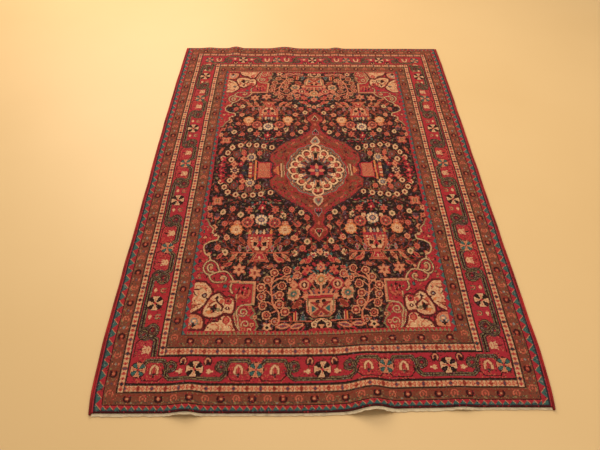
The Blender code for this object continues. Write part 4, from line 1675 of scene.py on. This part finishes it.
def new_material(name, roughness, **sockets):
    made = bpy.data.materials.new(name)
    made.use_nodes = True
    shader = made.node_tree.nodes["Principled BSDF"]
    shader.inputs["Roughness"].default_value = roughness
    for key, value in sockets.items():
        shader.inputs[key.replace("_", " ")].default_value = value
    return made, made.node_tree, shader


print("node tools ready")

# %% [markdown]
# ## Unpacking the knots
# A point's place in its block gives the column and row of the knot it lies on. The row picks one of
# the four stored numbers, and the column one of that number's four digits, which is the yarn.

# %% Unpacking
TIMES, TIMES_PLUS = {"operation": "MULTIPLY"}, {"operation": "MULTIPLY_ADD"}


def yarn_colours(tree, stray):
    """The colour of the yarn at each point. The stray moves the edges of the knots a little."""
    place = add_node(tree, "UVMap", {"uv_map": "Cell"})
    for operation, by in (("ADD", stray), ("MULTIPLY", (BLOCK,) * 3), ("MAXIMUM", (0.0,) * 3),
                          ("MINIMUM", (BLOCK - 0.001,) * 3), ("FLOOR", (0.0,) * 3)):
        place = add_node(tree, "VectorMath", {"operation": operation}, i0=place, i1=by)
    knot = add_node(tree, "SeparateXYZ", i0=place)
    stored = add_node(tree, "Attribute", {"attribute_name": "Yarns"})
    rows = add_node(tree, "SeparateColor", i0=stored.outputs["Color"])
    number = 0.5
    for k, row in enumerate((*rows.outputs[:3], stored.outputs["Alpha"])):
        here = add_node(tree, "Math", {"operation": "COMPARE"}, i0=knot.outputs["Y"], i1=float(k), i2=0.5)
        number = add_node(tree, "Math", TIMES_PLUS, i0=row, i1=here, i2=number)
    shift = add_node(tree, "Math", {"operation": "POWER"}, i0=float(len(YARNS)), i1=knot.outputs["X"])
    for operation, by in (("DIVIDE", shift), ("FLOOR", 0.0), ("MODULO", float(len(YARNS))), ("ADD", 0.5),
                          ("DIVIDE", float(len(YARNS)))):
        number = add_node(tree, "Math", {"operation": operation}, i0=number, i1=by)
    ramp = add_node(tree, "ValToRGB", i0=number)
    ramp.color_ramp.interpolation = "CONSTANT"
    stops = ramp.color_ramp.elements
    stops.remove(stops[1])
    for k, colour in enumerate(YARNS.values()):
        stop = stops[0] if k == 0 else stops.new(k / len(YARNS))
        stop.color = linear(colour)
    return ramp


print("unpacking ready")

# %% [markdown]
# ## Wool pile
# Hand-spun wool takes dye unevenly, so every tuft differs a little and whole bands across the rug
# turn lighter or darker where the weaver began a new batch. Weavers call that abrash. Use has
# rubbed some patches paler. Seen along the pile the wool is dull and soft. Tufts are about 2.6 by
# 3 mm, and the bump follows them.

# %% Wool pile
def wool_pile():
    # Clipped wool pile, madder and indigo dyed: matt, soft-edged, with a faint sheen at low angles.
    made, tree, shader = new_material("wool_pile", 0.92, Sheen_Weight=0.13, Sheen_Roughness=0.5,
                                      Sheen_Tint=linear("#d08a70"), Specular_IOR_Level=0.10)
    knots = add_node(tree, "UVMap", {"uv_map": "Knots"})
    fuzz = add_node(tree, "TexNoise", Vector=knots, Scale=1.3, Detail=2.0)
    centred = add_node(tree, "VectorMath", {"operation": "SUBTRACT"}, i0=fuzz.outputs["Color"],
                       i1=(0.5, 0.5, 0.5))
    stray = add_node(tree, "VectorMath", {"operation": "SCALE"}, i0=centred, Scale=0.30)
    yarn = yarn_colours(tree, stray)
    whole = add_node(tree, "VectorMath", {"operation": "FLOOR"}, i0=knots)
    tuft = add_node(tree, "TexWhiteNoise", {"noise_dimensions": "2D"}, Vector=whole)
    place = add_node(tree, "TexCoord").outputs["Object"]
    bands = add_node(tree, "Mapping", Vector=place, Scale=(0.35, 9.0, 1.0))
    abrash = add_node(tree, "TexNoise", Vector=bands, Scale=1.0, Detail=3.0)
    patches = add_node(tree, "TexNoise", Vector=place, Scale=4.0, Detail=4.0)
    grain = add_node(tree, "TexNoise", Vector=place, Scale=900.0, Detail=2.0)
    tone = 0.62
    for source, strength in ((tuft.outputs["Value"], 0.20), (abrash, 0.30), (patches, 0.24), (grain, 0.24)):
        tone = add_node(tree, "Math", TIMES_PLUS, i0=source, i1=strength, i2=tone)
    hue = add_node(tree, "Math", TIMES_PLUS, i0=abrash, i1=0.02, i2=0.49)
    toned = add_node(tree, "HueSaturation", Color=yarn, Value=tone, Saturation=0.96, Hue=hue)
    worn = add_node(tree, "Math", TIMES, i0=patches, i1=0.10)
    faded = add_node(tree, "Mix", {"data_type": "RGBA"}, i0=worn, i6=toned, i7=linear("#7d4a3c"))
    tree.links.new(faded.outputs[2], shader.inputs["Base Color"])
    height = add_node(tree, "Math", TIMES, i0=grain, i1=0.5)
    split = add_node(tree, "SeparateXYZ", i0=knots)
    for axis, share in (("X", 0.15), ("Y", 0.25)):
        turn = add_node(tree, "Math", TIMES, i0=split.outputs[axis], i1=2 * math.pi)
        wave = add_node(tree, "Math", {"operation": "SINE"}, i0=turn)
        height = add_node(tree, "Math", TIMES_PLUS, i0=wave, i1=share, i2=height)
    height = add_node(tree, "Math", TIMES_PLUS, i0=tuft.outputs["Value"], i1=0.5, i2=height)
    bump = add_node(tree, "Bump", Strength=0.55, Distance=0.0009, Height=height)
    tree.links.new(bump.outputs[0], shader.inputs["Normal"])
    return made


pile_material = wool_pile()
pile.data.materials.append(pile_material)
print(len(pile_material.node_tree.nodes), "nodes in the pile's material")

# %% [markdown]
# ## The back of the rug
# On the back the colours are clearer, because no light or feet reach them, and shots of grey-white
# cotton weft stand between the rows of knot backs. They are drawn after every second row, since
# one after each row would be finer than a picture of the whole back can hold.

# %% Knot backs
def knot_backs():
    # Backs of symmetric wool knots between cotton wefts: hard, ribbed and matt.
    made, tree, shader = new_material("knot_backs", 0.85, Specular_IOR_Level=0.25)
    knots = add_node(tree, "UVMap", {"uv_map": "Knots"})
    split = add_node(tree, "SeparateXYZ", i0=knots)
    turn = add_node(tree, "Math", TIMES, i0=split.outputs["Y"], i1=math.pi / 2)
    wave = add_node(tree, "Math", {"operation": "SINE"}, i0=turn)
    ridge = add_node(tree, "Math", {"operation": "ABSOLUTE"}, i0=wave)
    weft = add_node(tree, "MapRange", {"interpolation_type": "SMOOTHSTEP"}, i0=ridge,
                    i1=0.15, i2=0.60, i3=0.45, i4=0.0)
    place = add_node(tree, "TexCoord").outputs["Object"]
    stain = add_node(tree, "TexNoise", Vector=place, Scale=30.0, Detail=5.0)
    cotton = add_node(tree, "Mix", {"data_type": "RGBA"}, i0=stain, i6=linear("#a89878"),
                      i7=linear("#8b7a62"))
    yarn = yarn_colours(tree, (0.0, 0.0, 0.0))
    bared = add_node(tree, "Mix", {"data_type": "RGBA"}, i0=weft, i6=yarn, i7=cotton.outputs[2])
    tree.links.new(bared.outputs[2], shader.inputs["Base Color"])
    bump = add_node(tree, "Bump", Strength=0.6, Distance=0.0008, Height=ridge)
    tree.links.new(bump.outputs[0], shader.inputs["Normal"])
    return made


foundation.data.materials.append(knot_backs())
print("back finished")

# %% [markdown]
# ## The edges
# The woven end is bare cotton, and the cords along the sides are wound with crimson wool.

# %% Cotton and overcast wool
def bare_cotton():
    # Undyed cotton warp and weft, handled and a little soiled: matt off-white; the grey in the grooves is
    # painted shade.
    made, tree, shader = new_material("bare_cotton", 0.9, Sheen_Weight=0.1, Specular_IOR_Level=0.2)
    knots = add_node(tree, "UVMap", {"uv_map": "Knots"})
    split = add_node(tree, "SeparateXYZ", i0=knots)
    turn = add_node(tree, "Math", TIMES, i0=split.outputs["X"], i1=math.pi)
    wave = add_node(tree, "Math", {"operation": "SINE"}, i0=turn)
    rib = add_node(tree, "Math", {"operation": "ABSOLUTE"}, i0=wave)
    place = add_node(tree, "TexCoord").outputs["Object"]
    soil = add_node(tree, "TexNoise", Vector=place, Scale=60.0, Detail=4.0)
    # Painted shade: the rib term darkens the grooves between the ribs; the soil noise adds real dirt.
    soil_and_groove_shade = add_node(tree, "Math", TIMES, i0=rib, i1=0.35)
    soil_and_groove_shade = add_node(tree, "Math", TIMES_PLUS, i0=soil, i1=0.7, i2=soil_and_groove_shade)
    ramp = add_node(tree, "ValToRGB", i0=soil_and_groove_shade)
    stops = ramp.color_ramp.elements
    # The dark stop colours both the real dirt and the painted shade in the grooves.
    stops[0].position, stops[0].color = 0.25, linear("#7d654c")
    stops[1].position, stops[1].color = 0.58, linear("#f0dfc0")
    tree.links.new(ramp.outputs[0], shader.inputs["Base Color"])
    twist = add_node(tree, "TexNoise", Vector=place, Scale=1400.0, Detail=2.0)
    bump = add_node(tree, "Bump", Strength=0.5, Distance=0.0005, Height=twist)
    tree.links.new(bump.outputs[0], shader.inputs["Normal"])
    return made


def overcast_wool():
    # Wool yarn wound over the edge cord: crimson, faded and dusty in places, matt with a soft sheen.
    made, tree, shader = new_material("overcast_wool", 0.85, Sheen_Weight=0.12, Sheen_Roughness=0.5,
                                      Sheen_Tint=linear("#d8a184"), Specular_IOR_Level=0.2)
    place = add_node(tree, "TexCoord").outputs["Object"]
    dye = add_node(tree, "TexNoise", Vector=place, Scale=9.0, Detail=5.0)
    ramp = add_node(tree, "ValToRGB", i0=dye)
    stops = ramp.color_ramp.elements
    stops[0].position, stops[0].color = 0.34, linear("#6a141a")
    stops[1].position, stops[1].color = 0.66, linear("#b02a2c")
    tree.links.new(ramp.outputs[0], shader.inputs["Base Color"])
    fibres = add_node(tree, "TexNoise", Vector=place, Scale=1600.0, Detail=2.0)
    bump = add_node(tree, "Bump", Strength=0.5, Distance=0.0004, Height=fibres)
    tree.links.new(bump.outputs[0], shader.inputs["Normal"])
    return made


web.data.materials.append(bare_cotton())
wrap_material = overcast_wool()
for piece in (left_wrap, right_wrap):
    piece.data.materials.append(wrap_material)
print("edges finished")

# %% [markdown]
# ## Joining the frame
# Every piece rides on the one body and stands for the solid it covers.

# %% Riding
for piece in (pile, foundation, web, left_wrap, right_wrap):
    piece.data.shade_smooth()
    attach(piece, "root")
for piece in (pile, foundation, web):
    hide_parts("knotted_carpet")
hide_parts("left_selvedge")
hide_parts("right_selvedge")
print("five pieces ride on the root body")

# %% [markdown]
# ## Floor and light
# The floor is plain and pale. One broad soft light stands beyond the far end, as a window would. A
# second hangs over the rug, a faint third fills in from behind the camera, and the world adds a
# little light from all round.

# %% Studio
FLOOR_HALF = 6.0
FLOOR_TOP = -0.0002  # just below the rug, so no two faces lie on each other


def floor_material():
    # Satin-varnished pale board: even, with only a trace of cloudiness.
    made, tree, shader = new_material("pale_floor", 0.45, Specular_IOR_Level=0.4)
    place = add_node(tree, "TexCoord").outputs["Object"]
    clouds = add_node(tree, "TexNoise", Vector=place, Scale=1.2, Detail=3.0)
    colour = add_node(tree, "Mix", {"data_type": "RGBA"}, i0=clouds.outputs[0],
                      i6=linear("#ebcb98"), i7=linear("#e1bf8a"))
    tree.links.new(colour.outputs[2], shader.inputs["Base Color"])
    return made


bpy.ops.object.select_all(action="DESELECT")
bpy.ops.mesh.primitive_plane_add(size=2 * FLOOR_HALF, location=(0, 0, FLOOR_TOP))
floor = bpy.context.object
floor.name = "floor"
floor.data.materials.append(floor_material())


def soft_light(name, place, aim, size, power, colour):
    lamp = bpy.data.lights.new(name, "AREA")
    lamp.shape, lamp.size, lamp.energy, lamp.color = "SQUARE", size, power, linear(colour)[:3]
    holder = bpy.data.objects.new(name, lamp)
    holder.location = place
    way = [a - b for a, b in zip(aim, place)]
    flat = math.hypot(way[0], way[1])
    holder.rotation_euler = (math.atan2(flat, -way[2]), 0, math.atan2(way[1], way[0]) - math.pi / 2)
    bpy.context.scene.collection.objects.link(holder)


soft_light("window", (-1.5, 3.2, 2.6), (0, 0.7, 0), 2.2, 122, "#ffeed2")
soft_light("ceiling", (0.6, 0.4, 3.2), (0, 0.3, 0), 2.6, 58, "#ffedcf")
soft_light("fill", (1.6, -3.2, 2.2), (0, 0, 0), 2.0, 13, "#ffebd6")
world = bpy.data.worlds.new("room")
bpy.context.scene.world = world
world.use_nodes = True
world.node_tree.nodes["Background"].inputs["Color"].default_value = linear("#f4e9da")
world.node_tree.nodes["Background"].inputs["Strength"].default_value = 0.35
bpy.context.scene.view_settings.view_transform = "Standard"
print("floor and three lights")

# %% [markdown]
# ## The size
# The dressed rug has to lie in the box of its solids.

# %% Size
print("scene built")
